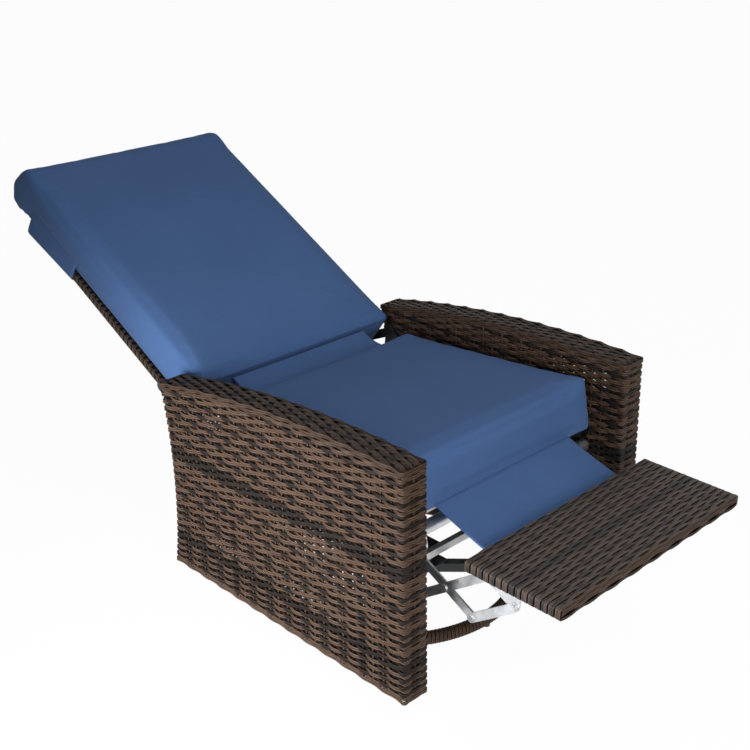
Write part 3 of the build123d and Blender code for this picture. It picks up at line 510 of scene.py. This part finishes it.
# ---- Arms ----
# Each arm is a hoop of tube wrapped in wicker: loops of flat strand go round it, over
# and under upright stakes, and seven strands follow the crown.
# Pitches and widths are read off the photograph. The rows start a tenth of a pitch above
# the foot, and a last one is added where 0.6 of a pitch is left
row_pitch = 0.00735
first_row, last_row = 0.1, 0.4
strand_width = 0.0083
strand_thickness = 0.0021
crown_strand_width = 0.0082
stake_width, stake_thickness = 0.0054, 0.0018
arm_weave_depth = 0.003
stake_pitch = 0.0252
edge_stake_pitch = 0.027
steps_a_stake = 4
stake_count = 27
stake_step = 0.02
stake_margin = 0.003
corner_bend = 0.004
corner_hold = 0.012
# Lifts, as shares of the weave's depth: over the arm's narrow edges, in the lowest loops,
# which are pulled tight, and at the corners, where every other loop bulges
edge_lift = 0.6
tight_rows, tight_lift = 2, 0.4
corner_lift, corner_swing = 0.35, 0.45
arm_inset = 0.0026
crown_cover = 0.0125
crown_rise = 0.001
arm_low, arm_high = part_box("arm_weave_left")
front_foot = (arm_low.y, arm_low.z)
front_head = (-0.342, 0.493)
crown_middle = (-0.013, 0.487)
back_head = (0.316, 0.437)
back_waist = (0.290, 0.215)
back_foot = (0.301, arm_low.z)


def circle_through(a, b, c):
    """Centre and radius of the circle through three side-view points."""
    rows = [(2 * (q[0] - a[0]), 2 * (q[1] - a[1])) for q in (b, c)]
    sums = [q[0] ** 2 + q[1] ** 2 - a[0] ** 2 - a[1] ** 2 for q in (b, c)]
    centre = np.linalg.solve(rows, sums)
    return centre[0], centre[1], hypot(a[0] - centre[0], a[1] - centre[1])


crown_y, crown_z, crown_radius = circle_through(front_head, crown_middle, back_head)
waist_y, waist_z, waist_radius = circle_through(back_head, back_waist, back_foot)


def crown_height(y):
    """Height of the arm's crown over a distance along Y."""
    return crown_z + np.sqrt(crown_radius**2 - (y - crown_y) ** 2)


def arm_ends(z):
    """Front and back of the loop round the arm at a height."""
    share = (z - front_foot[1]) / (front_head[1] - front_foot[1])
    front = front_foot[0] + share * (front_head[0] - front_foot[0])
    back = waist_y - sqrt(waist_radius**2 - (z - waist_z) ** 2)
    level = (crown_radius - crown_cover) ** 2 - (z - crown_z) ** 2
    crown = crown_y + sqrt(level) if level > 0 else front
    return front + arm_inset, min(back - arm_inset, crown)


def rounded_outline(corners, radius, step, chords=3):
    """Points and outward directions round a convex outline, counter-clockwise."""
    points, out = [], []
    count = len(corners)
    corners = [np.array(corner, float) for corner in corners]
    radii = np.broadcast_to(radius, count)
    for turn, (corner, radius) in enumerate(zip(corners, radii)):
        back = corners[turn - 1] - corner
        ahead = corners[(turn + 1) % count] - corner
        back, ahead = back / np.linalg.norm(back), ahead / np.linalg.norm(ahead)
        half = np.arccos(np.clip(back @ ahead, -1, 1)) / 2
        middle = corner + (back + ahead) / np.linalg.norm(back + ahead) * radius / sin(half)
        start = atan2(*(corner + back * radius / np.tan(half) - middle)[::-1])
        for chord in range(chords + 1):
            way = start + (pi - 2 * half) * chord / chords
            out.append((cos(way), sin(way)))
            points.append(middle + radius * np.array(out[-1]))
    filled, facing = [], []
    for turn, (point, way) in enumerate(zip(points, out)):
        goal = points[(turn + 1) % len(points)]
        gap = np.linalg.norm(goal - point)
        pieces = max(1, round(gap / step)) if turn % (chords + 1) == chords else 1
        for piece in range(pieces):
            filled.append(point + (goal - point) * piece / pieces)
            facing.append(way)
    return np.array(filled), np.array(facing)


def rectangle(low, high):
    """Corners of a rectangle, counter-clockwise."""
    return [(low[0], low[1]), (high[0], low[1]), (high[0], high[1]), (low[0], high[1])]


# How dark the rows are, in turn, and the rows of near-black strand, by height: single ones
# and two bands of three or four
row_tones = (0.06, 0.0, 0.12, 0.02)
near_black = 0.95
dark_rows = (0.063, 0.078, 0.095, 0.139, 0.168, 0.184, 0.213, 0.231, 0.256)
dark_rows += (0.3375, 0.3675, 0.3875, 0.4075, 0.4325, 0.465)
dark_bands = ((0.117, 0.0105), (0.305, 0.0145))
# Stakes of near-black strand, out of every 14
dark_stakes = (1, 4, 5, 7, 11)
x_low, x_high = arm_low.x + arm_inset, arm_high.x - arm_inset
arm_middle = (x_low + x_high) / 2


def row_tone(z, number):
    """How far a row is dyed towards black."""
    single = any(abs(z - height) < row_pitch / 2 for height in dark_rows)
    banded = any(abs(z - middle) < half for middle, half in dark_bands)
    return near_black if single or banded else row_tones[number % 4]


def arm_loop(front, back):
    """Outline of a loop round the arm, and the lift of its strand over the stakes."""
    corners = rectangle((x_low, front), (x_high, back))
    flat, out = rounded_outline(corners, corner_bend, stake_pitch / steps_a_stake)
    return flat, out, np.cos(pi * (flat[:, 1] - front) / stake_pitch)


def arm_rows(side):
    """Paths of one arm's strands: its loops and the edge loops under the crown."""
    rows = int((front_head[1] - front_foot[1]) / row_pitch + last_row)
    for number in range(rows):
        z = front_foot[1] + (number + first_row) * row_pitch
        front, back = arm_ends(z)
        flat, out, along = arm_loop(front, back)
        sign = -1 if number % 2 else 1
        over = edge_lift * np.cos(pi * (flat[:, 0] - arm_middle) / edge_stake_pitch)
        level = np.where(np.abs(out[:, 0]) > 0.7, along, over)
        to_end = np.minimum(np.abs(flat[:, 1] - front), np.abs(flat[:, 1] - back))
        to_face = np.abs(np.abs(flat[:, 0] - arm_middle) - (x_high - arm_middle))
        hold = np.clip((to_end + to_face) / corner_hold, 0, 1)
        tight = tight_lift if number < tight_rows else 1
        corner = (corner_lift + corner_swing * sign) * (1 - hold)
        lift = sign * level * hold * tight + corner
        points = columns(side * flat[:, 0], flat[:, 1], z)
        way = columns(side * out[:, 0], out[:, 1], 0)
        yield strand_path(points, way, lift, row_tone(z, number), closed=True)
    # Two edge loops follow the crown: (how far below it, which way they start)
    front, back = arm_ends(front_head[1] - row_pitch / 2)[0], back_head[0] - arm_inset
    flat, out, along = arm_loop(front, back)
    for drop, sign in ((0.0044, 1), (0.0116, -1)):
        points = columns(side * flat[:, 0], flat[:, 1], crown_height(flat[:, 1]) - drop)
        way = columns(side * out[:, 0], out[:, 1], 0)
        lift = 0.35 + 0.6 * sign * along
        yield strand_path(points, way, lift, tone=0.35, closed=True)


def arm_stakes(side):
    """Upright stakes inside the weave, on the arm's two faces and its two edges."""
    foot = front_foot[1] + stake_margin
    for number in range(1, stake_count):
        line = []
        for z in np.arange(foot, front_head[1], stake_step):
            front, back = arm_ends(z)
            y = front + number * stake_pitch
            if y < back - corner_bend:
                line.append((y, z))
        if len(line) < 3:
            continue
        y, z = np.array(line).T
        tone = 0.9 * (number % 14 in dark_stakes)
        for x, face in ((x_low, -side), (x_high, side)):
            yield strand_path(columns(side * x, y, z), (face, 0, 0), tone=tone)
    for end, face in ((0, -1), (1, 1)):
        levels = np.arange(foot, (front_head[1], back_head[1])[end] - stake_step, stake_step)
        line = [(side * arm_middle, arm_ends(z)[end], z) for z in levels]
        yield strand_path(line, (0, face, 0), lift=-0.2, tone=0.2)


def crown_rows(side):
    """Strands along the crown, each turned down over both ends."""
    tones = (0.8, 0.25, 0.55, 0.3, 0.9, 0.35, 0.6)
    count = len(tones)
    margin = 0.002
    spread = arm_high.x - arm_low.x - 2 * margin
    y = np.arange(front_head[0] + 0.008, back_head[0] - 0.006, stake_pitch / steps_a_stake)
    z = crown_height(y) + crown_rise - arm_inset
    slope = -(y - crown_y) / crown_radius
    front, rear = front_head[0] + 0.0035, back_head[0] - 0.0035
    # Each end turns down, to 22 mm below the crown
    line = [(front, z[0] - 0.022), (front, z[0] - 0.006), (front + 0.001, z[0] - 0.002)]
    line += list(zip(y, z))
    line += [(rear - 0.001, z[-1] - 0.002), (rear, z[-1] - 0.006), (rear - 0.002, z[-1] - 0.022)]
    line = np.array(line)
    out = [(-1, 0), (-1, 0), (-0.7, 0.7)]
    out += [(-s, 1) for s in slope] + [(0.7, 0.7), (1, 0), (1, 0)]
    out = np.array(out, float)
    out /= np.linalg.norm(out, axis=1)[:, None]
    for number, tone in enumerate(tones):
        x = arm_low.x + margin + (number + 0.5) * spread / count
        sign = -1 if number % 2 else 1
        lift = sign * np.cos(pi * (line[:, 0] - front_head[0]) / stake_pitch)
        lift[:3] = lift[-3:] = -0.4
        points = columns(side * x, line[:, 0], line[:, 1])
        yield strand_path(points, columns(0, out[:, 0], out[:, 1]), lift, tone)


arm_strand = strand_profile("arm_strand", strand_width, strand_thickness, 2)
crown_strand = strand_profile("crown_strand", crown_strand_width, strand_thickness, 2)
stake_strand = strand_profile("stake_strand", stake_width, stake_thickness, 1)
for side, end in ((1, "left"), (-1, "right")):
    loops = weave(f"arm_strands_{end}", arm_rows(side), arm_strand, arm_weave_depth, resin)
    crown = f"arm_crown_strands_{end}"
    crown = weave(crown, crown_rows(side), crown_strand, arm_weave_depth, resin)
    stakes = weave(f"arm_stakes_{end}", arm_stakes(side), stake_strand, arm_weave_depth, resin)
    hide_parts(f"arm_weave_{end}")
    for piece in (loops, crown, stakes):
        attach(piece, "chassis")


# ---- Seat frame ----
# Two side rails bolted to the arms, two cross rails and a deck that carries the cushion.
# The deck is stained birch plywood, sawn square.

# Stained birch: matt brown with a long fine grain, drawn 4 mm wide so that it shows
grain_width = 0.004
grain = ((1 / grain_width, 12.0, 12.0), 5.0)
deck_board = hard_material(
    "birch_plywood_stained",
    ((0.35, "#201811"), (0.65, "#352820")),
    clouds=grain,
    relief=grain,
    roughness=(0.5, 0.7),
    bump=(0.2, 0.0004),
)
dress(["seat_deck"], deck_board)


# ---- Footrest ----
# A small tube frame under woven strand: loops run from side to side, over and under
# stakes, and three strands close each long edge.
rest_low, rest_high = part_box("footrest_weave")
rest_pitch = 0.00662
rest_depth = 0.0011
rest_wrap_width = 0.0061
rest_edge_width = 0.0078
rest_stake_pitch = 0.02925
rest_stake_margin = 0.005
rest_bend = 0.0045
rest_dark_rows = (2, 5, 8, 13, 14, 15, 20, 24, 28)
rest_tones = (0.2, 0.1, 0.35)
rest_edge_tones = (0.5, 0.1, 0.35)
# Two loops draw together by a share of their pitch and bulge by their own lifts where
# they turn round a short edge
rest_pairing = 0.12
rest_bulges = (0.9, 0.3, 0.7, 0.1)
rest_inset = rest_depth + strand_thickness * 0.5
rest_reach = rest_high.x - rest_inset
rest_bottom, rest_top = rest_low.z + rest_inset, rest_high.z - rest_inset


def rest_rows():
    """Paths of the footrest's loops, drawn together in pairs round its short edges."""
    corners = rectangle((-rest_reach, rest_bottom), (rest_reach, rest_top))
    flat, out = rounded_outline(corners, rest_bend, rest_stake_pitch / 6)
    x, z = flat.T
    hold = np.clip((rest_reach - np.abs(x)) / corner_hold, 0, 1)
    way = columns(out[:, 0], 0, out[:, 1])
    rows = int((rest_high.y - rest_low.y) / rest_pitch)
    first = (rest_low.y + rest_high.y - (rows - 1) * rest_pitch) / 2
    for number in range(rows):
        sign = -1 if number % 2 else 1
        y = first + number * rest_pitch + sign * rest_pitch * rest_pairing * (1 - hold)
        wave = np.clip(1.5 * sign * np.cos(pi * x / rest_stake_pitch), -1, 1)
        lift = wave * hold + rest_bulges[number % 4] * np.abs(out[:, 0])
        tone = near_black if number in rest_dark_rows else rest_tones[number % 3]
        yield strand_path(columns(x, y, z), way, lift, tone, closed=True)


def rest_edges():
    """Paths of the stakes under the loops, and of the strands along the long edges."""
    outer = int((rest_reach - corner_hold) / rest_stake_pitch)
    y = np.linspace(rest_low.y + rest_stake_margin, rest_high.y - rest_stake_margin, 8)
    for x in np.arange(-outer, outer + 1) * rest_stake_pitch:
        for z, face in ((rest_bottom, -1), (rest_top, 1)):
            yield strand_path(columns(x, y, z), (0, 0, face), lift=-0.8, tone=0.6)
    # Three strands close each long edge, the outer two leaning round it
    x = np.arange(-rest_reach + 0.002, rest_reach - 0.001, rest_stake_pitch / 4)
    heights = (rest_bottom + 0.0025, (rest_bottom + rest_top) / 2, rest_top - 0.0025)
    for y, face in ((rest_low.y + rest_inset, -1), (rest_high.y - rest_inset, 1)):
        for row, z in enumerate(heights):
            lean = 0.5 * (row - 1)
            sign = -1 if row == 1 else 1
            lift = 0.2 + sign * np.cos(pi * x / rest_stake_pitch)
            way = (0, face * cos(lean), sin(lean))
            yield strand_path(columns(x, y, z), way, lift, rest_edge_tones[row])


rest_resin = resin_material(
    "extruded_polyethylene_footrest", 0.35, "#56483f", "#43352c", "#231a14", "#110d0a"
)
rest_strand = strand_profile("rest_strand", rest_wrap_width, strand_thickness, 2)
edge_strand = strand_profile("edge_strand", rest_edge_width, strand_thickness, 2)
rest_strands = weave("footrest_strands", rest_rows(), rest_strand, rest_depth, rest_resin)
rest_borders = weave("footrest_border_strands", rest_edges(), edge_strand, rest_depth, resin)
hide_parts("footrest_weave")
for piece in (rest_strands, rest_borders):
    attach(piece, "footrest")


# ---- Backrest panel ----
# A flat tube frame wound from side to side with the same strand, as the footrest is.
# It leans with the back cushion, and its top slides into the cushion's hood.
recline = radians(27.4)
back_place = (0.269, 0.428)
panel_half = 0.2615
panel_along = (0.004, 0.612)
panel_level = (-0.1175, -0.0975)
panel_bend = 0.006
panel_margin = 0.008
# How far a loop slants from its under side to its upper one, in rows, and how the loops
# bulge at the panel's sides and are dyed, in turn
panel_slant = 1.5
panel_bulges = (0.9, -0.2)
panel_tones = (0.0, 0.8, 0.1, 0.95)


def tilted_plane(place, tilt):
    """Plane that rises towards the back of the chair: its corner, and its ways along and up."""
    ways = (0, *place), (0, cos(tilt), sin(tilt)), (0, -sin(tilt), cos(tilt))
    return [np.array(Vector(way)) for way in ways]


def on_plane(plane, x, s, n):
    """Points of the frame from distances across, along and above a tilted plane."""
    corner, along, up = plane
    x, s, n = [part[..., None] for part in np.broadcast_arrays(x, s, n)]
    return corner + x * np.array((1, 0, 0)) + s * along + n * up


back_plane = tilted_plane(back_place, recline)


def back_rows():
    """Paths of the back panel's loops and of the strand across each end."""
    reach = panel_half - rest_inset
    low, high = panel_level[0] + rest_inset, panel_level[1] - rest_inset
    corners = rectangle((-reach, low), (reach, high))
    flat, out = rounded_outline(corners, panel_bend, stake_pitch / 3)
    x, level = flat.T
    rows = int((panel_along[1] - panel_along[0] - panel_margin) / row_pitch)
    first = (panel_along[0] + panel_along[1] - (rows - 1) * row_pitch) / 2
    hold = np.clip((reach - np.abs(x)) / corner_hold, 0, 1)
    way = on_plane((0, *back_plane[1:]), out[:, 0], 0, out[:, 1])
    slant = (level - low) / (high - low) - 0.5
    for number in range(rows):
        sign = -1 if number % 2 else 1
        along = first + (number + panel_slant * slant) * row_pitch
        points = on_plane(back_plane, x, along, level)
        wave = sign * np.cos(pi * x / stake_pitch)
        lift = wave * hold + (1 - hold) * panel_bulges[number % 2]
        yield strand_path(points, way, lift, panel_tones[number % 4], closed=True)
    x = np.arange(-reach + 0.006, reach - 0.005, stake_pitch / 4)
    level = (panel_level[0] + panel_level[1]) / 2
    for along, face in ((panel_along[0] + 0.003, -1), (panel_along[1] - 0.003, 1)):
        points = on_plane(back_plane, x, along, level)
        lift = 0.5 * np.cos(pi * x / stake_pitch)
        yield strand_path(points, back_plane[1] * face, lift, tone=0.3)


back_strands = weave("back_strands", back_rows(), arm_strand, rest_depth, resin)
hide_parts("back_weave")
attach(back_strands, "backrest")


# ---- Seat and back cushions ----
# Box cushions of polyester fibre in a sewn cover: crowned faces, soft edges and sides
# that draw in. A cloth simulation blows them up, as their filling does.
def face_away(piece, inside):
    """Turn a piece's faces away from a point behind them."""
    shell = bmesh.new()
    shell.from_mesh(piece.data)
    bmesh.ops.recalc_face_normals(shell, faces=shell.faces)
    first = shell.faces[:][0]
    if (first.calc_center_median() - Vector(inside)).dot(first.normal) < 0:
        bmesh.ops.reverse_faces(shell, faces=shell.faces)
    shell.to_mesh(piece.data)
    shell.free()


def grid_faces(rows, count, closed):
    """Faces between rows of points, where each row is a closed ring or an open line."""
    faces = []
    for row in range(rows - 1):
        for step in range(count if closed else count - 1):
            a, b = row * count + step, row * count + (step + 1) % count
            faces.append((a, b, b + count, a + count))
    return faces


def cushion_mesh(name, plane, outline, half, round_edge, crown, lip=0):
    """Closed form: an outline of (s, n, radius) swept from side to side, crowned on top."""
    outline = np.array(outline)
    flat, out = rounded_outline(outline[:, :2], outline[:, 2], step=0.02, chords=8)
    low, high = flat.min(0), flat.max(0)
    middle = (low + high) / 2
    # The edge at each side is a quarter circle: (distance from the side, how far drawn in)
    arc = [sin(pi / 2 * k / 6) for k in range(7)]
    arc = [(round_edge * (1 - c), round_edge * (1 - sqrt(1 - c * c))) for c in arc]
    inner = half - 1.6 * round_edge
    stations = [(gap - half, inset) for gap, inset in arc[::-1]]
    stations += [(x, 0) for x in np.linspace(-inner, inner, 24)]
    stations += [(half - gap, inset) for gap, inset in arc]
    rings = []
    for x, inset in stations:
        s, n = (flat - out * inset).T
        share = (s - low[0]) / (high[0] - low[0])
        rise = crown * (1 - (x / half) ** 4) * np.clip(4 * share * (1 - share), 0, 1)
        top = np.clip((n - middle[1]) / (high[1] - middle[1]), 0, 1)
        # The lip hangs over the front of the deck, where the outline passes it
        drop = lip * (1 - top) * np.clip((0.002 - s) / 0.01, 0, 1)
        rings.append(on_plane(plane, x, s, n + rise * top - drop))
    caps = []
    for ring in (rings[0], rings[-1]):
        centre = ring.mean(0)
        caps.append([centre + (ring - centre) * keep for keep in (0.82, 0.62, 0.42, 0.2)])
    rings = caps[0][::-1] + rings + caps[1]
    count = len(flat)
    last = (len(rings) - 1) * count
    faces = grid_faces(len(rings), count, closed=True)
    faces += [tuple(range(count))[::-1], tuple(last + i for i in range(count))]
    points = np.concatenate(rings)
    piece = add_mesh(name, points.tolist(), faces=faces)
    face_away(piece, points.mean(0))
    return piece


def stuff(piece, voxel, pressure, cap):
    """Blow a cover up as its filling does, and keep each point within a cap of its start."""
    steps = 20
    skin = piece.modifiers.new("skin", "REMESH")
    skin.mode = "VOXEL"
    skin.voxel_size = voxel
    piece = plain_copy(piece)
    settle = piece.modifiers.new("settle", "SMOOTH")
    settle.iterations = 3
    piece = plain_copy(piece)
    piece.data.shade_smooth()
    before = np.empty(len(piece.data.vertices) * 3, np.float32)
    piece.data.vertices.foreach_get("co", before)
    cover = piece.modifiers.new("cover", "CLOTH")
    cloth = cover.settings
    cloth.use_pressure = True
    cloth.uniform_pressure_force = pressure
    cloth.quality = 5
    cloth.tension_stiffness = cloth.compression_stiffness = 15
    cloth.bending_stiffness = 0.5
    cloth.effector_weights.gravity = 0
    cover.point_cache.frame_end = steps
    for step in range(1, steps + 1):
        scene.frame_set(step)
    piece = plain_copy(piece)
    scene.frame_set(1)
    after = np.empty(len(before), np.float32)
    piece.data.vertices.foreach_get("co", after)
    move = (after - before).reshape(-1, 3)
    length = np.linalg.norm(move, axis=1)[:, None]
    kept = cap * np.tanh(length / cap)
    move *= kept / np.maximum(length, 1e-9)
    piece.data.vertices.foreach_set("co", (before.reshape(-1, 3) + move).ravel())
    piece.data.update()
    fine = piece.modifiers.new("fine", "SUBSURF")
    fine.levels = fine.render_levels = 1
    piece = plain_copy(piece)
    piece.data.shade_smooth()
    return piece


# Solution-dyed polyester, plain woven: a matt slate blue with slubs along the weft. The
# yarns are drawn at 1.6 mm, about three times their real pitch, so that they show
yarn_pitch = 0.0016
slub_length = 0.05
slubs_across = 420.0
fading = 5.0


def cloth_material(name, tilt):
    """Plain-woven cloth whose yarns run across the chair and along a tilted plane."""
    made, tree = new_material(name)
    spot = node(tree, "ShaderNodeTexCoord")["Object"]
    laid = node(tree, "ShaderNodeMapping", {"Vector": spot, "Rotation": (-tilt, 0, 0)})[0]
    turn = {0: laid, "Scale": 2 * pi / yarn_pitch}
    yarns = node(tree, "ShaderNodeVectorMath", turn, operation="SCALE")
    parts = node(tree, "ShaderNodeSeparateXYZ", {0: yarns[0]})
    waves = [node(tree, "ShaderNodeMath", {0: part}, operation="SINE")[0] for part in parts]
    pair = node(tree, "ShaderNodeMath", {0: waves[0], 1: waves[1]}, operation="ADD")
    grid = node(tree, "ShaderNodeMath", {0: pair[0], 1: waves[2]}, operation="ADD")
    scale = (1 / slub_length, slubs_across, slubs_across)
    lay = node(tree, "ShaderNodeMapping", {"Vector": laid, "Scale": scale})
    slubs = node(tree, "ShaderNodeTexNoise", {"Vector": lay[0], "Scale": 1.0, "Detail": 3.0})
    fade = node(tree, "ShaderNodeTexNoise", {"Vector": spot, "Scale": fading, "Detail": 3.0})
    mixed = node(tree, "ShaderNodeMath", {0: slubs[0], 1: fade[0]}, operation="ADD")
    halved = node(tree, "ShaderNodeMath", {0: mixed[0], 1: 0.5}, operation="MULTIPLY")
    base = ramp(tree, halved[0], (0.3, "#3b557e"), (0.5, "#3e5984"), (0.7, "#425d88"))
    rise = node(tree, "ShaderNodeMath", {0: slubs[0], 1: 4.0}, operation="MULTIPLY")
    height = node(tree, "ShaderNodeMath", {0: grid[0], 1: rise[0]}, operation="ADD")
    rough = node(tree, "ShaderNodeMapRange", {"Value": slubs[0], "To Min": 0.78, "To Max": 0.94})
    raised = {"Height": height[0], "Strength": 0.22, "Distance": 0.0003}
    surface(
        tree,
        Base_Color=base,
        Roughness=rough[0],
        Normal=node(tree, "ShaderNodeBump", raised)[0],
        Specular_IOR_Level=0.15,
        Sheen_Weight=0.05,
        Sheen_Roughness=0.5,
    )
    return made


seat_tilt = radians(-5.17)
seat_place = (-0.2688, 0.3514)
seat_cloth = cloth_material("woven_polyester_slate_seat", seat_tilt)
back_cloth = cloth_material("woven_polyester_slate_back", recline)
seat_half = 0.263
back_half = 0.261
seat_cushion = cushion_mesh(
    "seat_cushion_cover",
    tilted_plane(seat_place, seat_tilt),
    [(-0.0145, -0.003, 0.003), (0.488, 0, 0.01), (0.488, 0.095, 0.014), (-0.003, 0.0955, 0.009)],
    seat_half,
    round_edge=0.009,
    crown=0.005,
    lip=0.007,
)
seat_cushion = stuff(seat_cushion, voxel=0.006, pressure=2.0, cap=0.0035)
seat_cushion.data.materials.append(seat_cloth)
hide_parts("seat_cushion")
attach(seat_cushion, "chassis")

back_cushion = cushion_mesh(
    "back_cushion_cover",
    back_plane,
    [
        (0.011, -0.097, 0.01),
        (0.63, -0.099, 0.03),
        (0.7035, -0.1095, 0.006),
        (0.715, -0.062, 0.03),
        (0.683, 0.002, 0.045),
        (-0.0025, 0.0, 0.007),
    ],
    back_half,
    round_edge=0.012,
    crown=0.004,
)
back_cushion = stuff(back_cushion, voxel=0.0066, pressure=2.0, cap=0.004)
back_cushion.data.materials.append(back_cloth)
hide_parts("back_cushion")
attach(back_cushion, "backrest")


# ---- Hood ----
# A quilted pocket of the same cloth, sewn to the back of the cushion, that pulls down
# over the top of the woven panel and holds the cushion there.
hood_half = 0.2655
hood_s = (0.442, 0.6265)
hood_n = (-0.136, -0.062)
hood_lean = 0.0175
hood_wall = 0.0035
hood_round = 0.012
hood_draw = 0.0062
hood_quilting = 0.0016
hood_mesh_step = 0.0075
hood_depth_steps = 10


def thicken(piece, thickness):
    """Give a sheet its thickness on the inner side, and shade it smooth."""
    wall = piece.modifiers.new("wall", "SOLIDIFY")
    wall.thickness = thickness
    wall.offset = -1
    piece = plain_copy(piece)
    piece.data.shade_smooth()
    return piece


def hood_mesh(name):
    """Pocket open below and in front: back, two sides and a top, rounded where they meet."""
    low = np.array((-hood_half, hood_s[0], hood_n[0]))
    size = np.array((2 * hood_half, hood_s[1] - hood_s[0], hood_n[1] - hood_n[0]))
    across, top = round(size[0] / hood_mesh_step), round(size[1] / hood_mesh_step)
    counts = np.array((across, top, hood_depth_steps))

    def place(key):
        spot = low + size * (np.array(key) / counts)
        core = np.clip(
            spot,
            (hood_round - hood_half, -1, hood_n[0] + hood_round),
            (hood_half - hood_round, hood_s[1] - hood_round, 1),
        )
        away = spot - core
        far = np.linalg.norm(away)
        if far > 1e-9:
            spot = core + away / far * hood_round
        x, s, n = spot
        front = (n - hood_n[0]) / size[2]
        # Its sides draw in towards the cushion. Its back leans out, and quilting some 200
        # by 130 mm shows on it
        x -= np.sign(x) * hood_draw * front * (abs(x) > hood_half - hood_round)
        bulge = hood_quilting * sin(x * 31 + 1) * sin(s * 47 + 0.6) * (front < 0.02)
        return x, s, n + bulge + (1 - front) * hood_lean * (hood_s[1] - s) / size[1]

    quads = []
    for a in range(across):
        for b in range(top):
            quads.append([(a, b, 0), (a, b + 1, 0), (a + 1, b + 1, 0), (a + 1, b, 0)])
        for c in range(hood_depth_steps):
            quads.append([(a, top, c), (a, top, c + 1), (a + 1, top, c + 1), (a + 1, top, c)])
    for b in range(top):
        for c in range(hood_depth_steps):
            for end in (0, across):
                side = [(end, b, c), (end, b, c + 1), (end, b + 1, c + 1), (end, b + 1, c)]
                quads.append(side)
    keys = list(dict.fromkeys(key for quad in quads for key in quad))
    number = {key: i for i, key in enumerate(keys)}
    spots = np.array([place(key) for key in keys]).T
    points = on_plane(back_plane, *spots)
    faces = [[number[key] for key in quad] for quad in quads]
    piece = add_mesh(name, points.tolist(), faces=faces)
    face_away(piece, on_plane(back_plane, 0, hood_s[0] + 0.05, 0))
    return thicken(piece, hood_wall)


hood = hood_mesh("back_hood_cover")
hood.data.materials.append(back_cloth)
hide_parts("back_hood")
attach(hood, "backrest")


# ---- Loose cloth: front flap and seat strip ----
# Single sheets of the cushion cloth, hemmed: one hangs from the front of the deck to the
# footrest in soft folds, the other bridges the two cushions.
cloth_thickness = 0.0016
sheet_columns = 72
sheet_step = 0.005


def cloth_sheet(name, line, width, ripple):
    """Sheet of cloth across the chair along a line of side-view points, and its length."""
    line = np.array(line)
    gaps = np.linalg.norm(np.diff(line, axis=0), axis=1)
    travel = np.concatenate([[0], np.cumsum(gaps)])
    rows = max(8, int(travel[-1] / sheet_step))
    places = np.linspace(0, travel[-1], rows + 1)
    y = np.interp(places, travel, line[:, 0])
    z = np.interp(places, travel, line[:, 1])
    slope = np.stack([np.gradient(y), np.gradient(z)], 1)
    slope /= np.linalg.norm(slope, axis=1)[:, None]
    x = np.linspace(-width / 2, width / 2, sheet_columns + 1)
    share = (places / travel[-1])[:, None]
    # Soft folds some 165 and 90 mm apart
    wave = np.sin(x * 38 + 2.4 * share) + 0.6 * np.sin(x * 71 - 3 * share + 1)
    lift = ripple * np.sin(pi * share) * wave
    y, z = y[:, None] - slope[:, 1:] * lift, z[:, None] + slope[:, :1] * lift
    points = columns(x, y, z).reshape(-1, 3)
    faces = grid_faces(rows + 1, sheet_columns + 1, closed=False)
    piece = add_mesh(name, points.tolist(), faces=faces)
    face_away(piece, (0, 0, -1))
    return thicken(piece, cloth_thickness), travel[-1]


def sagging(start, end, sag, pieces=10):
    """Points of a sagging span between two side-view points."""
    start, end = np.array(start), np.array(end)
    shares = np.linspace(0, 1, pieces + 1)[:, None]
    return [*(start + shares * (end - start) - 4 * np.array((0, sag)) * shares * (1 - shares))]


flap_ripple = 0.0007
flap_low, flap_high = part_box("front_flap")
flap_width = flap_high.x - flap_low.x
flap_line = [(flap_high.y - 0.0002, flap_high.z - 0.0004), (-0.274, 0.352)]
flap_line += sagging((-0.2835, 0.3532), (-0.394, 0.3165), 0.0006, 16)
flap_line += [(-0.402, 0.3158), (flap_low.y + 0.0002, 0.3162)]
flap, flap_length = cloth_sheet("front_flap_cloth", flap_line, flap_width, flap_ripple)
flap.data.materials.append(seat_cloth)
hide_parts("front_flap")
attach(flap, "chassis")
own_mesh(flap)

strip_ripple = 0.0006
strip_sag = 0.005
strip_low, strip_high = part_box("seat_strip")
strip_width = strip_high.x - strip_low.x
# The strip starts inside the seat cushion's rear edge
strip_tuck = 0.008
strip_start = (strip_low.y - strip_tuck, 0.3975)
strip_line = sagging(strip_start, (strip_high.y, strip_high.z - 0.0002), strip_sag)
strip, strip_length = cloth_sheet("seat_strip_cloth", strip_line, strip_width, strip_ripple)
strip.data.materials.append(seat_cloth)
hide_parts("seat_strip")
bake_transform(strip)

# The strands' cross-sections were only patterns
for profile in (binding_strand, arm_strand, crown_strand, stake_strand, rest_strand, edge_strand):
    bpy.data.objects.remove(profile)
